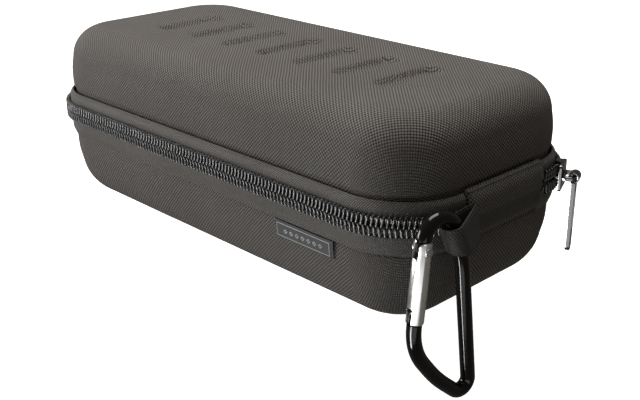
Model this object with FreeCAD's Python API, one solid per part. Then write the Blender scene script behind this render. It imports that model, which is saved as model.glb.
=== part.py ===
import FreeCAD, Part
import math
import os

# Hard-shell carrying case for a game controller: two moulded halves joined by a cloth hinge at one short end and a
# coil zip round the other three sides, with a carabiner in a webbing loop.
# Origin: centre of the flat underside. +X towards the hinge end, -Y towards the side with the label, +Z up.
# Insets are measured inwards from the outline of the zip, heights from the parting line between the halves.

V = FreeCAD.Vector

# Whole case
case_length = 240.0
case_width = 115.0
case_height = 84.0
corner_radius = 32.4
parting_height = 45.6
wall = 3.0

# Moulded halves
rim_gap = 0.8
rim_inset = 5.0
lid_inset = 4.4
lid_lean = 2.0
lid_edge_radius = 14.6
base_inset = 4.0
base_lean = 4.4
base_edge_radius = 21.5
step_height = 1.0

# Recesses in the lid's top
recess_count = 7
recess_pitch = 23.0
recess_length = 36.0
recess_width = 9.0
recess_depth = 1.1

# Zip tapes
tape_inset = 2.5
tape_thickness = 0.8
upper_tape_top = 8.8
upper_tape_bend = 6.3
lower_tape_bottom = 12.2
lower_tape_bend = 8.4
tape_edge = 0.9
hem_gap = 0.15
hem_bulge = 0.22
hem_edge = 0.4
hem_rise = 0.1

# Zip coils
coil_pitch = 2.0
coil_depth = 2.35
coil_groove = 0.9
coil_height = 4.35
coil_gap = 0.1
coil_parting = 1.0
parted_length = 13.0

# Hinge end
panel_inset = 0.3
panel_top = 9.8
panel_bottom = 10.8
panel_bend = 3.6
panel_bend_share = 0.3
panel_edge = 0.4
panel_foot_edge = 0.5
panel_foot_bend = 6.0
panel_foot_middle = (1.0, 2.2)
panel_corner_gap = 1.6
panel_clearance = 0.3
lining_height = 9.0
lining_thickness = 0.8
lining_edge_radius = 0.32

# Bindings inside the rims
binding_height = 6.5
binding_thickness = 0.5
binding_gap = 0.1

# Slider, in its own frame: x outwards, y along the zip, z up, origin on the zip's outline
slider_angle = 22.0
slider_length = 11.0
slider_mouth_height = 5.6
slider_tail_height = 5.4
plate_gap = 0.5
plate_thickness = 1.2
plate_corner = 1.2
back_plate_gap = 0.7
back_plate_length = 9.0
back_plate_thickness = 0.6
back_plate_top = 2.4
post_length = 2.2
post_height = 1.1
post_setback = 0.1
lip_thickness = 0.65
lip_length = 4.0
lip_gap = 0.3
lip_start = 0.2
bail_reach = 5.2
bail_span = 9.2
bail_thickness = 1.6
bail_height = 1.8
bail_outer_radius = 1.8
bail_inner_radius = 0.5
bail_foot_gap = 0.02

# Pull tab
pull_length = 34.5
pull_width = 5.0
pull_thickness = 1.8
pull_eye_width = 4.6
pull_eye_wall = 0.85
pull_slot_width = 2.2
pull_slot_length = 18.0
pull_slot_drop = 6.0
pull_hole_radius = 1.0
pull_hole_rise = 3.2
pull_clearance = 0.25

# Carabiner, in its own plane: u along the wall, z from the case's underside
carabiner_stand = 4.2
carabiner_seam = 11.2
carabiner_turn = 10.0
rod_radius = 2.8
gate_radius = 3.3
gate_top_u = -16.9
gate_top_z = 46.5
gate_bottom_u = -19.6
gate_bottom_z = 14.5
head_corner = (-17.6, 54.6)
head_radius = 5.0
neck_corner = (-1.6, 48.7)
neck_radius = 7.0
spine_corner = (2.7, 34.0)
spine_radius = 60.0
foot_corner = (9.3, -30.0)
foot_radius = 6.0
toe_corner = (-20.6, 3.0)
toe_radius = 15.0
tongue_thickness = 2.2
tongue_width = 4.4
tongue_length = 6.0
tongue_root = 1.0
gate_end_gap = 0.4
gate_edge_radius = 0.7
slot_side_clearance = 0.3
slot_end_clearance = 0.7
rivet_radius = 1.0
rivet_head_radius = 1.7
rivet_head_height = 0.5
rivet_head_gap = 0.03
rivet_clearance = 0.05
gate_bore_radius = 1.7
bore_end_wall = 3.0
spring_radius = 1.15
spring_wire = 0.3
spring_turns = 5
spring_steps = 14
spring_sides = 6
plunger_radius = 1.2
plunger_length = 4.0
sliding_gap = 0.1

# Webbing loop
webbing_width = 15.0
webbing_bottom = 35.5
webbing_slope = 0.32
webbing_thickness = 1.2
webbing_clearance = 0.5
webbing_overlap = 2.0
webbing_gap = 0.2
webbing_seam = 0.4
webbing_offset = 1.1

# Side label
label_length = 32.0
label_height = 7.6
label_thickness = 1.3
label_start = 48.0
label_edge_radius = 0.6

half_length = case_length / 2
half_width = case_width / 2
corner_x = half_length - corner_radius
corner_y = half_width - corner_radius
lid_top = case_height - parting_height
panel_width = 2 * (corner_y - panel_corner_gap)
seam_y = panel_width / 2 + panel_clearance
webbing_neck = seam_y + webbing_seam
carabiner_x = half_length + carabiner_stand
carabiner_y = -seam_y - carabiner_seam
slot_depth = tongue_length + slot_end_clearance
rivet_drop = tongue_length - tongue_width / 2


def track_pieces():
    """Pieces of the zip's path: near right corner, front, left end, back, far right corner."""
    return [
        ("line", (half_length, -seam_y), (half_length, -corner_y)),
        ("arc", (corner_x, -corner_y), 0.0),
        ("line", (corner_x, -half_width), (-corner_x, -half_width)),
        ("arc", (-corner_x, -corner_y), -90.0),
        ("line", (-half_length, -corner_y), (-half_length, corner_y)),
        ("arc", (-corner_x, corner_y), 180.0),
        ("line", (-corner_x, half_width), (corner_x, half_width)),
        ("arc", (corner_x, corner_y), 90.0),
        ("line", (half_length, corner_y), (half_length, seam_y)),
    ]


def hinge_end_pieces():
    """The stretch of the outline between the zip's two ends."""
    return [("line", (half_length, seam_y), (half_length, -seam_y))]


def on_arc(centre, angle, radius, height):
    """Point on a corner arc, the angle in degrees from +X."""
    turn = math.radians(angle)
    return V(centre[0] + radius * math.cos(turn), centre[1] + radius * math.sin(turn), height)


def line_normal(start, end):
    """Outward normal of a straight piece; the outline is walked clockwise seen from above."""
    dx = end[0] - start[0]
    dy = end[1] - start[1]
    length = math.hypot(dx, dy)
    return (-dy / length, dx / length)


def piece_edge(piece, inset, height):
    """One piece of the outline as an edge."""
    level = parting_height + height
    if piece[0] == "arc":
        points = [on_arc(piece[1], piece[2] - turn, corner_radius - inset, level) for turn in (0.0, 45.0, 90.0)]
        return Part.Arc(*points).toShape()
    normal = line_normal(piece[1], piece[2])
    ends = [V(x - inset * normal[0], y - inset * normal[1], level) for x, y in piece[1:]]
    return Part.makeLine(*ends)


def profile_face(points, origin, normal):
    """Face of an (inset, height) profile stood across the outline; an arc is three points in a tuple."""

    def place(point):
        inset, height = point
        return V(origin[0] - inset * normal[0], origin[1] - inset * normal[1], parting_height + height)

    edges = []
    last = None
    first = None
    for item in points:
        bend = isinstance(item[0], tuple)
        spots = [place(p) for p in item] if bend else [place(item)]
        if last is not None:
            if (spots[0] - last).Length > 1e-7:
                edges.append(Part.makeLine(last, spots[0]))
        if first is None:
            first = spots[0]
        if bend:
            edges.append(Part.Arc(*spots).toShape())
        last = spots[-1]
    edges.append(Part.makeLine(last, first))
    return Part.Face(Part.Wire(edges))


def run_along(profile, pieces):
    """Solid of a profile run along pieces of the outline."""
    solids = []
    for piece in pieces:
        if piece[0] == "arc":
            start = on_arc(piece[1], piece[2], corner_radius, 0.0)
            turn = math.radians(piece[2])
            face = profile_face(profile, (start.x, start.y), (math.cos(turn), math.sin(turn)))
            solids.append(face.revolve(V(piece[1][0], piece[1][1], 0.0), V(0, 0, 1), -90.0))
        else:
            (x0, y0), (x1, y1) = piece[1], piece[2]
            face = profile_face(profile, (x0, y0), line_normal(piece[1], piece[2]))
            solids.append(face.extrude(V(x1 - x0, y1 - y0, 0)))
    joined = solids[0].multiFuse(solids[1:])
    return joined.removeSplitter().Solids[0]


def rounded_edge(sections, edge_radius, end):
    """Profile up a moulding's side and round its edge, as far as the corners' axes at the height of its end."""
    (low_height, low_inset), (high_height, high_inset) = sections[-2:]
    direction = 1 if end > 0 else -1
    lean = math.atan2(high_inset - low_inset, abs(high_height - low_height))
    sweep = math.pi / 2 - lean
    reach = edge_radius * math.tan(sweep / 2)
    slope = (high_inset - low_inset) / (high_height - low_height)
    corner_inset = high_inset + slope * (end - high_height)
    centre_inset = corner_inset + reach
    centre_height = end - direction * edge_radius
    arc = []
    for share in (0.0, 0.5, 1.0):
        angle = lean + share * sweep
        rise = direction * edge_radius * math.sin(angle)
        arc.append((centre_inset - edge_radius * math.cos(angle), centre_height + rise))
    side = [(inset, height) for height, inset in sections[:-1]]
    return side + [tuple(arc), (corner_radius, end)]


def shell(sections, edge_radius):
    """Moulded half with an even wall, open at the parting line, its profile run round the outline."""
    end = sections[-1][0]
    direction = 1 if end > 0 else -1
    outside = rounded_edge(sections, edge_radius, end)
    hollow = [(height, inset + wall) for height, inset in sections]
    inside = rounded_edge(hollow, edge_radius - wall, end - direction * wall)
    inside = [tuple(reversed(item)) if isinstance(item[0], tuple) else item for item in reversed(inside)]
    rim = run_along(outside + inside, track_pieces() + hinge_end_pieces())
    flat = Part.makeBox(2 * corner_x, 2 * corner_y, wall)
    flat.translate(V(-corner_x, -corner_y, parting_height + (end - wall if direction > 0 else end)))
    return rim.fuse(flat).removeSplitter().Solids[0]


def base_shell():
    """Lower half, upright behind the tape, then leaning in to a widely rounded underside."""
    step = -lower_tape_bottom
    sections = [
        (-rim_gap, rim_inset),
        (step + step_height, rim_inset),
        (step, base_inset),
        (-parting_height, base_inset + base_lean),
    ]
    return shell(sections, base_edge_radius)


def lid_shell():
    """Upper half, with a row of shallow round-ended recesses across its top."""
    step = upper_tape_top
    sections = [
        (rim_gap, rim_inset),
        (step - step_height, rim_inset),
        (step, lid_inset),
        (lid_top, lid_inset + lid_lean),
    ]
    lid = shell(sections, lid_edge_radius)
    end = recess_width / 2
    reach = recess_length / 2 - end
    for index in range(recess_count):
        x = (index - (recess_count - 1) / 2) * recess_pitch
        left = Part.makeLine(V(x - end, -reach, 0), V(x - end, reach, 0))
        far = Part.Arc(V(x - end, reach, 0), V(x, reach + end, 0), V(x + end, reach, 0)).toShape()
        right = Part.makeLine(V(x + end, reach, 0), V(x + end, -reach, 0))
        near = Part.Arc(V(x + end, -reach, 0), V(x, -reach - end, 0), V(x - end, -reach, 0)).toShape()
        tool = Part.Face(Part.Wire([left, far, right, near])).extrude(V(0, 0, 2 * recess_depth))
        tool.translate(V(0, 0, case_height - recess_depth))
        lid = lid.cut(tool)
    return lid.Solids[0]


def zip_tape(end_height, bend_height, hem_inset, side):
    """Thin tape that lies flat behind the coil and turns in to the wall; side is 1 above the coil, -1 below."""
    hem = hem_inset - hem_gap
    inner = tape_inset + tape_thickness
    middle = (bend_height + end_height) / 2
    bulge = tape_inset + hem_bulge * (hem - tape_inset)
    outer_bend = (
        (tape_inset, side * bend_height),
        (bulge, side * (middle + hem_rise)),
        (hem - hem_edge, side * end_height),
    )
    profile = [
        (inner, side * tape_edge),
        (tape_inset, side * tape_edge),
        outer_bend,
        (hem, side * end_height),
        (hem, side * (end_height - tape_thickness)),
        (inner, side * (bend_height - tape_thickness / 4)),
    ]
    return run_along(profile, track_pieces())


def track_point(distance, inset):
    """Point on the zip's path, measured along its outline from the near right seam."""
    for piece in track_pieces():
        if piece[0] == "arc":
            length = corner_radius * math.pi / 2
            angle = piece[2] - math.degrees(distance / corner_radius)
            if distance <= length:
                return on_arc(piece[1], angle, corner_radius - inset, 0)
        else:
            (x0, y0), (x1, y1) = piece[1], piece[2]
            length = math.hypot(x1 - x0, y1 - y0)
            if distance <= length:
                normal = line_normal(piece[1], piece[2])
                share = distance / length
                x = x0 + share * (x1 - x0) - inset * normal[0]
                y = y0 + share * (y1 - y0) - inset * normal[1]
                return V(x, y, 0)
        distance -= length
    return V(half_length - inset, seam_y, 0)


def track_length():
    """Length of the zip along its outline."""
    return sum(piece_edge(piece, 0.0, 0.0).Length for piece in track_pieces())


def coil_plan(start, end, phase):
    """Face of one stretch of a coil seen from above, with a ridge for each turn."""
    outer = [track_point(start, coil_groove)]
    turn = math.ceil(start / coil_pitch - phase)
    while (turn + phase + 0.5) * coil_pitch < end:
        crest = (turn + phase) * coil_pitch
        if crest > start:
            outer.append(track_point(crest, 0.0))
            outer.append(track_point(crest + coil_pitch / 2, coil_groove))
        turn += 1
    outer.append(track_point(end, coil_groove))
    steps = max(2, int((end - start) / (2 * coil_pitch)))
    inner = [track_point(end - (end - start) * i / steps, coil_depth) for i in range(steps + 1)]
    points = outer + inner
    return Part.Face(Part.makePolygon(points + [points[0]]))


def zip_coil(side, phase):
    """One row of the coil; past the slider it leaves the other row."""
    full = track_length()
    parted = full - parted_length
    low = coil_gap if side > 0 else -coil_gap - coil_height
    closed = coil_plan(0.0, parted, phase)
    closed.translate(V(0, 0, parting_height + low))
    opened = coil_plan(parted, full, phase)
    opened.translate(V(0, 0, parting_height + low + side * coil_parting))
    rise = V(0, 0, coil_height)
    return closed.extrude(rise).fuse(opened.extrude(rise)).removeSplitter().Solids[0]


def hinge_panel():
    """Cloth panel over the hinge, rounded at its top and bottom edges."""
    inner = base_inset - hem_gap
    profile = [
        (inner, -panel_bottom),
        (
            (inner - panel_foot_edge, -panel_bottom),
            (panel_inset + panel_foot_middle[0], -panel_bottom + panel_foot_middle[1]),
            (panel_inset, -panel_bottom + panel_foot_bend),
        ),
        (
            (panel_inset, panel_top - panel_bend),
            (panel_inset + panel_bend_share * panel_bend, panel_top - panel_bend_share * panel_bend),
            (panel_inset + panel_bend - panel_edge, panel_top),
        ),
        (inner, panel_top),
    ]
    start = (half_length, -panel_width / 2)
    face = profile_face(profile, start, (1.0, 0.0))
    return face.extrude(V(0, panel_width, 0))


def hinge_lining():
    """Inner cloth strip that bridges the two rims at the hinge end."""
    inset = rim_inset + wall + binding_thickness + 2 * binding_gap
    box = Part.makeBox(lining_thickness, panel_width, 2 * lining_height)
    box.translate(V(half_length - inset - lining_thickness, -panel_width / 2, parting_height - lining_height))
    upright = [e for e in box.Edges if abs(e.Vertexes[0].Z - e.Vertexes[-1].Z) > lining_height]
    return box.makeFillet(lining_edge_radius, upright)


def binding(side):
    """Cloth binding over a rim: a flange on the rim's edge and a leg down its inner face."""
    inner = rim_inset + wall + binding_gap
    edge = side * (rim_gap - binding_gap)
    outer = rim_inset + 2 * binding_gap
    profile = [
        (outer, edge),
        (inner, edge),
        (inner, edge + side * binding_height),
        (inner + binding_thickness, edge + side * binding_height),
        (inner + binding_thickness, edge - side * binding_thickness),
        (outer, edge - side * binding_thickness),
    ]
    return run_along(profile, track_pieces() + hinge_end_pieces())


def moved(shape, placement):
    """Copy of a shape carried by a placement."""
    shape = shape.copy()
    shape.Placement = placement.multiply(shape.Placement)
    return shape


def plate(x_inner, thickness, length, lower, upper):
    """Slider plate across the zip; lower and upper give its height at the tail and at the mouth."""
    half = length / 2
    points = [
        V(x_inner, half, -lower[0]),
        V(x_inner, half, upper[0]),
        V(x_inner, 0, upper[0]),
        V(x_inner, -half, upper[1]),
        V(x_inner, -half, -lower[1]),
        V(x_inner, 0, -lower[0]),
    ]
    solid = Part.Face(Part.makePolygon(points + [points[0]])).extrude(V(thickness, 0, 0))
    across = [e for e in solid.Edges if abs(e.Vertexes[0].X - e.Vertexes[-1].X) > thickness / 2]
    return solid.makeFillet(plate_corner, [e for e in across if abs(e.Vertexes[0].Y) > half / 2])


def place_slider(shape):
    """Put a shape of the slider's own frame where the slider is parked."""
    spot = on_arc((corner_x, corner_y), slider_angle, corner_radius, parting_height)
    return moved(shape, FreeCAD.Placement(spot, FreeCAD.Rotation(V(0, 0, 1), slider_angle)))


def slider_body():
    """Front plate with turned-in lips, back plate and the post between them at the mouth."""
    both = (slider_tail_height, slider_mouth_height)
    front = plate(plate_gap, plate_thickness, slider_length, both, both)
    back_face = -(tape_inset + tape_thickness + back_plate_gap)
    back_inner = back_face - back_plate_thickness
    cut_down = (back_plate_top, back_plate_top)
    back = plate(back_inner, back_plate_thickness, back_plate_length, both, cut_down)
    reach = plate_gap + plate_thickness / 2
    post_foot = back_inner + back_plate_thickness / 2
    post = Part.makeBox(reach - post_foot, post_length, post_height)
    post.translate(V(post_foot, -back_plate_length / 2 + post_setback, -post_height / 2))
    parts = [back, post]
    lip_end = lip_gap - tape_inset
    for low in (slider_tail_height - lip_thickness, -slider_tail_height):
        lip = Part.makeBox(reach - lip_end, lip_length, lip_thickness)
        lip.translate(V(lip_end, lip_start, low))
        parts.append(lip)
    return place_slider(front.fuse(parts).removeSplitter())


def bail_foot():
    """Where the bail stands on the front plate, in the slider's frame."""
    return plate_gap + plate_thickness + bail_foot_gap


def slider_bail():
    """Arch on the front plate, in the plane of travel, that the pull hangs from."""
    foot = bail_foot()
    half = bail_span / 2

    def block(start, end, half_span, height, radius):
        box = Part.makeBox(end - start, 2 * half_span, height)
        box.translate(V(start, -half_span, -height / 2))
        upright = [e for e in box.Edges if abs(e.Vertexes[0].Z - e.Vertexes[-1].Z) > height / 2]
        return box.makeFillet(radius, [e for e in upright if e.BoundBox.XMin > (start + end) / 2])

    end = foot + bail_reach
    outer = block(foot, end, half, bail_height, bail_outer_radius)
    gap = half - bail_thickness
    inner = block(foot + bail_thickness / 2, end - bail_thickness, gap, 2 * bail_height, bail_inner_radius)
    return place_slider(outer.cut(inner).Solids[0])


def pull_tab():
    """Long flat pull with a slot and a small hole, its eye threaded on the bail's outer bar."""
    centre = bail_foot() + bail_reach - bail_thickness / 2
    bore_radius = math.hypot(bail_thickness, bail_height) / 2 + pull_clearance
    eye_radius = bore_radius + pull_eye_wall
    half = pull_width / 2
    bottom = eye_radius - pull_length
    outline = [
        Part.makeLine(V(0, -half, -eye_radius), V(0, -half, bottom + half)),
        Part.Arc(V(0, -half, bottom + half), V(0, 0, bottom), V(0, half, bottom + half)).toShape(),
        Part.makeLine(V(0, half, bottom + half), V(0, half, -eye_radius)),
        Part.Arc(V(0, half, -eye_radius), V(0, 0, 0), V(0, -half, -eye_radius)).toShape(),
    ]
    blade = Part.Face(Part.Wire(outline)).extrude(V(pull_thickness, 0, 0))
    blade.translate(V(centre - pull_thickness / 2, 0, 0))
    eye = Part.makeCylinder(eye_radius, pull_eye_width, V(centre, -pull_eye_width / 2, 0), V(0, 1, 0))
    bore = Part.makeCylinder(bore_radius, 2 * pull_width, V(centre, -pull_width, 0), V(0, 1, 0))
    through = V(centre - pull_thickness, 0, 0)
    slot_end = pull_slot_width / 2
    slot_bottom = slot_end - pull_slot_drop - pull_slot_length
    slot = Part.makeBox(2 * pull_thickness, pull_slot_width, pull_slot_length - pull_slot_width)
    slot.translate(through + V(0, -slot_end, slot_bottom))
    cuts = [bore, slot]
    for height in (slot_bottom, -pull_slot_drop - slot_end):
        cuts.append(Part.makeCylinder(slot_end, 2 * pull_thickness, through + V(0, 0, height), V(1, 0, 0)))
    low = through + V(0, 0, bottom + pull_hole_rise)
    cuts.append(Part.makeCylinder(pull_hole_radius, 2 * pull_thickness, low, V(1, 0, 0)))
    solid = blade.fuse(eye).cut(cuts[0].fuse(cuts[1:]))
    return place_slider(solid.removeSplitter().Solids[0])


def round_corner(before, corner, after, radius):
    """Start, end, centre and turn of the arc that rounds one corner of a path in the carabiner's plane."""
    a = V(before[0] - corner[0], 0, before[1] - corner[1]).normalize()
    b = V(after[0] - corner[0], 0, after[1] - corner[1]).normalize()
    half_angle = a.getAngle(b) / 2
    reach = radius / math.tan(half_angle)
    c = V(corner[0], 0, corner[1])
    bisector = (a + b).normalize()
    centre = c + bisector * (radius / math.sin(half_angle))
    return c + a * reach, c + b * reach, centre, 180.0 - 2 * math.degrees(half_angle)


def carabiner_rod():
    """Bent rod from the gate's hinge over the top, down the spine and round the foot to the nose."""
    gate_top = (gate_top_u, gate_top_z)
    gate_bottom = (gate_bottom_u, gate_bottom_z)
    corners = [
        (head_corner, head_radius),
        (neck_corner, neck_radius),
        (spine_corner, spine_radius),
        (foot_corner, foot_radius),
        (toe_corner, toe_radius),
    ]
    stops = [gate_top] + [corner for corner, radius in corners] + [gate_bottom]
    solids = []
    last = V(gate_top[0], 0, gate_top[1])
    for index, (corner, radius) in enumerate(corners):
        start, end, centre, turn = round_corner(stops[index], corner, stops[index + 2], radius)
        solids.append(Part.makeCylinder(rod_radius, (start - last).Length, last, start - last))
        section = Part.Face(Part.Wire([Part.makeCircle(rod_radius, start, start - last)]))
        solids.append(section.revolve(centre, (start - centre).cross(end - centre).normalize(), turn))
        last = end
    foot = V(gate_bottom[0], 0, gate_bottom[1])
    solids.append(Part.makeCylinder(rod_radius, (foot - last).Length, last, foot - last))
    return solids[0].multiFuse(solids[1:])


def gate_frame():
    """Top of the gate, its downward direction and its length in the carabiner's plane."""
    top = V(gate_top_u, 0, gate_top_z)
    bottom = V(gate_bottom_u, 0, gate_bottom_z)
    down = (bottom - top).normalize()
    return top, down, (bottom - top).Length


def place_carabiner(shape):
    """Turn a shape of the carabiner's plane to where the carabiner hangs."""
    turn = FreeCAD.Rotation(V(0, 0, 1), 90.0 - carabiner_turn)
    return moved(shape, FreeCAD.Placement(V(carabiner_x, carabiner_y, 0), turn))


def along_gate(shape):
    """Stand a shape made along -Z from the origin on the gate's line."""
    top, down, length = gate_frame()
    return moved(shape, FreeCAD.Placement(top, FreeCAD.Rotation(V(0, 0, -1), down)))


def rod_tongue():
    """Flat tongue with a round end on the end of the rod, made along -Z."""
    half = tongue_width / 2
    bar = Part.makeBox(tongue_width, tongue_thickness, rivet_drop + tongue_root)
    bar.translate(V(-half, -tongue_thickness / 2, -rivet_drop))
    end = Part.makeCylinder(half, tongue_thickness, V(0, -tongue_thickness / 2, -rivet_drop), V(0, 1, 0))
    return bar.fuse(end)


def pin_hole(radius):
    """Cross hole for the rivet."""
    return Part.makeCylinder(radius, 4 * gate_radius, V(0, -2 * gate_radius, -rivet_drop), V(0, 1, 0))


def carabiner_body():
    """Rod with a pierced tongue for the gate's hinge and a nose tongue at the other end."""
    length = gate_frame()[2]
    nose = rod_tongue()
    nose.rotate(V(0, 0, 0), V(0, 1, 0), 180)
    nose.translate(V(0, 0, -length))
    solid = carabiner_rod().fuse([along_gate(rod_tongue()), along_gate(nose)])
    solid = solid.cut(along_gate(pin_hole(rivet_radius + rivet_clearance)))
    return place_carabiner(solid.removeSplitter().Solids[0])


def carabiner_gate():
    """Hollow gate with a slot at each end for the tongues, its hinge end rounded about the rivet."""
    length = gate_frame()[2]
    pin = V(0, 0, -rivet_drop)
    lower = Part.makeCylinder(gate_radius, length - gate_end_gap - rivet_drop, pin, V(0, 0, -1))
    rim = [e for e in lower.Edges if e.BoundBox.ZMax < -length / 2 and e.Closed]
    lower = lower.makeFillet(gate_edge_radius, rim)
    upper = Part.makeCylinder(gate_radius, rivet_drop, pin, V(0, 0, 1))
    end = Part.makeCylinder(
        rivet_drop - gate_end_gap, 4 * gate_radius, V(0, -2 * gate_radius, -rivet_drop), V(0, 1, 0)
    )
    slot_width = tongue_thickness + 2 * slot_side_clearance
    slots = []
    for low in (-slot_depth, -length - slot_depth):
        slot = Part.makeBox(4 * gate_radius, slot_width, 2 * slot_depth)
        slot.translate(V(-2 * gate_radius, -slot_width / 2, low))
        slots.append(slot)
    bore = Part.makeCylinder(
        gate_bore_radius, length - 2 * slot_depth - bore_end_wall + 1, V(0, 0, 1 - slot_depth), V(0, 0, -1)
    )
    solid = lower.fuse(upper.common(end)).cut(slots[0]).cut(slots[1].fuse(bore)).cut(pin_hole(rivet_radius))
    return place_carabiner(along_gate(solid.removeSplitter().Solids[0]))


def gate_rivet():
    """Pin through the gate's cheeks and the body's tongue, with two low heads."""
    rise = gate_radius + rivet_head_gap
    pin = Part.makeCylinder(rivet_radius, 2 * rise, V(0, -rise, -rivet_drop), V(0, 1, 0))
    for side in (1, -1):
        start = V(0, side * rise, -rivet_drop)
        pin = pin.fuse(Part.makeCylinder(rivet_head_radius, rivet_head_height, start, V(0, side, 0)))
    return place_carabiner(along_gate(pin.removeSplitter().Solids[0]))


def gate_plunger():
    """Pusher between the spring and the hinge tongue."""
    start = V(0, 0, -tongue_length - sliding_gap)
    body = Part.makeCylinder(plunger_radius, plunger_length, start, V(0, 0, -1))
    return place_carabiner(along_gate(body))


def gate_spring():
    """Compression spring in the gate's bore."""
    length = gate_frame()[2]
    start = tongue_length + plunger_length + 2 * sliding_gap + spring_wire
    end = length - slot_depth - bore_end_wall - sliding_gap - spring_wire
    count = spring_turns * spring_steps
    rings = []
    for index in range(count + 1):
        turn = 2 * math.pi * index / spring_steps
        out = V(math.cos(turn), math.sin(turn), 0)
        centre = out * spring_radius - V(0, 0, start + (end - start) * index / count)
        ring = []
        for side in range(spring_sides):
            corner = 2 * math.pi * side / spring_sides
            ring.append(centre + out * (spring_wire * math.cos(corner)) + V(0, 0, spring_wire * math.sin(corner)))
        rings.append(ring)
    return place_carabiner(along_gate(ring_solid(rings)))


def ring_solid(rings):
    """Solid with flat facets through rings of points."""
    faces = []
    for low, high in zip(rings, rings[1:]):
        for index, spot in enumerate(low):
            after = (index + 1) % len(low)
            for corners in ((spot, low[after], high[after]), (spot, high[after], high[index])):
                faces.append(Part.Face(Part.makePolygon([*corners, corners[0]])))
    for end in (rings[0], rings[-1]):
        faces.append(Part.Face(Part.makePolygon([*end, end[0]])))
    skin = Part.makeShell(faces)
    skin.sewShape()
    solid = Part.Solid(skin)
    if solid.Volume < 0:
        solid.reverse()
    return solid


def spine_spot(height):
    """Point on the straight upper part of the carabiner's spine."""
    lean = (neck_corner[0] - spine_corner[0]) / (neck_corner[1] - spine_corner[1])
    u = spine_corner[0] + lean * (height - spine_corner[1])
    turn = math.radians(carabiner_turn)
    return V(carabiner_x + u * math.sin(turn), carabiner_y + u * math.cos(turn), height)


def webbing_loop():
    """Folded tab of webbing round the leaning rod, its neck in the seam, its top edge falling to the loop."""
    centre = spine_spot(webbing_bottom)
    slant = spine_spot(webbing_bottom + webbing_width) - centre
    inner = rod_radius + webbing_clearance
    strand = half_length + webbing_offset
    double = 2 * webbing_thickness + webbing_gap

    def touch(radius, spot, side):
        """Where the straight strand from a spot meets the loop's circle."""
        reach = spot - centre
        turn = math.atan2(reach.y, reach.x) + side * math.acos(radius / reach.Length)
        return centre + V(radius * math.cos(turn), radius * math.sin(turn), 0)

    def block(radius, low, high, start):
        """Teardrop that reaches from the neck round the far side of the rod."""
        near = V(low, start, webbing_bottom)
        far = V(high, start, webbing_bottom)
        points = [touch(radius, near, 1), V(centre.x, centre.y - radius, webbing_bottom), touch(radius, far, -1)]
        edges = [
            Part.makeLine(near, points[0]),
            Part.Arc(*points).toShape(),
            Part.makeLine(points[2], far),
            Part.makeLine(far, near),
        ]
        return Part.Face(Part.Wire(edges)).extrude(slant)

    neck = -webbing_neck - slant.y
    outside = block(inner + webbing_thickness, strand, strand + double, neck)
    middle = strand + double / 2
    inside = block(inner, middle - webbing_gap / 2, middle + webbing_gap / 2, neck - webbing_overlap)
    reach = 2 * carabiner_seam
    top = webbing_bottom + webbing_width
    sheared = [
        V(0, -webbing_neck, webbing_bottom - webbing_overlap),
        V(0, -webbing_neck, top),
        V(0, -webbing_neck - reach, top - webbing_slope * reach),
        V(0, -webbing_neck - reach, webbing_bottom - webbing_overlap),
    ]
    keep = Part.Face(Part.makePolygon(sheared + [sheared[0]])).extrude(V(2 * half_length, 0, 0))
    return outside.cut(inside).common(keep).Solids[0]


def side_label():
    """Folded cloth tab below the lower tape, lying along the leaning wall."""
    lean = math.degrees(math.atan2(base_lean, parting_height - lower_tape_bottom))
    tab = Part.makeBox(label_length, label_thickness, label_height, V(0, -label_thickness, -label_height))
    long_edges = [e for e in tab.Edges if e.Length > label_length / 2]
    fold = [e for e in long_edges if all(v.Z < -label_height / 2 for v in e.Vertexes)]
    tab = tab.makeFillet(label_edge_radius, fold)
    wall_y = -(half_width - base_inset) - hem_gap
    place = FreeCAD.Placement(
        V(label_start, wall_y, parting_height - lower_tape_bottom - 2 * hem_gap),
        FreeCAD.Rotation(V(1, 0, 0), lean),
    )
    tab.Placement = place
    return tab


NODES = {
    "base_shell": base_shell,
    "lid_shell": lid_shell,
    "lower_zip_tape": lambda: zip_tape(lower_tape_bottom, lower_tape_bend, base_inset, -1),
    "upper_zip_tape": lambda: zip_tape(upper_tape_top, upper_tape_bend, lid_inset, 1),
    "lower_zip_coil": lambda: zip_coil(-1, 0.5),
    "upper_zip_coil": lambda: zip_coil(1, 0.0),
    "hinge_panel": hinge_panel,
    "hinge_lining": hinge_lining,
    "base_binding": lambda: binding(-1),
    "lid_binding": lambda: binding(1),
    "slider_body": slider_body,
    "slider_bail": slider_bail,
    "pull_tab": pull_tab,
    "carabiner_body": carabiner_body,
    "carabiner_gate": carabiner_gate,
    "gate_rivet": gate_rivet,
    "gate_plunger": gate_plunger,
    "gate_spring": gate_spring,
    "webbing_loop": webbing_loop,
    "side_label": side_label,
}

os.makedirs("parts", exist_ok=True)
for name, make in NODES.items():
    solid = make()
    box = solid.BoundBox
    print(
        f"{name}: solids {len(solid.Solids)}, valid {solid.isValid()}, volume {solid.Volume:.1f},"
        f" x {box.XMin:.1f}..{box.XMax:.1f}, y {box.YMin:.1f}..{box.YMax:.1f}, z {box.ZMin:.1f}..{box.ZMax:.1f}"
    )
    solid.exportStep(f"parts/{name}.step")
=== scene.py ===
"""Studio scene for the controller carrying case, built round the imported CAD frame.

Sizes in the classes are in millimetres, apart from the studio's lamps and camera, which are in metres.
"""

import logging
import math
from abc import ABC, abstractmethod
from collections.abc import Callable, Sequence
from dataclasses import dataclass
from enum import Enum

import bmesh
import bpy
from mathutils import Matrix, Vector


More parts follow.
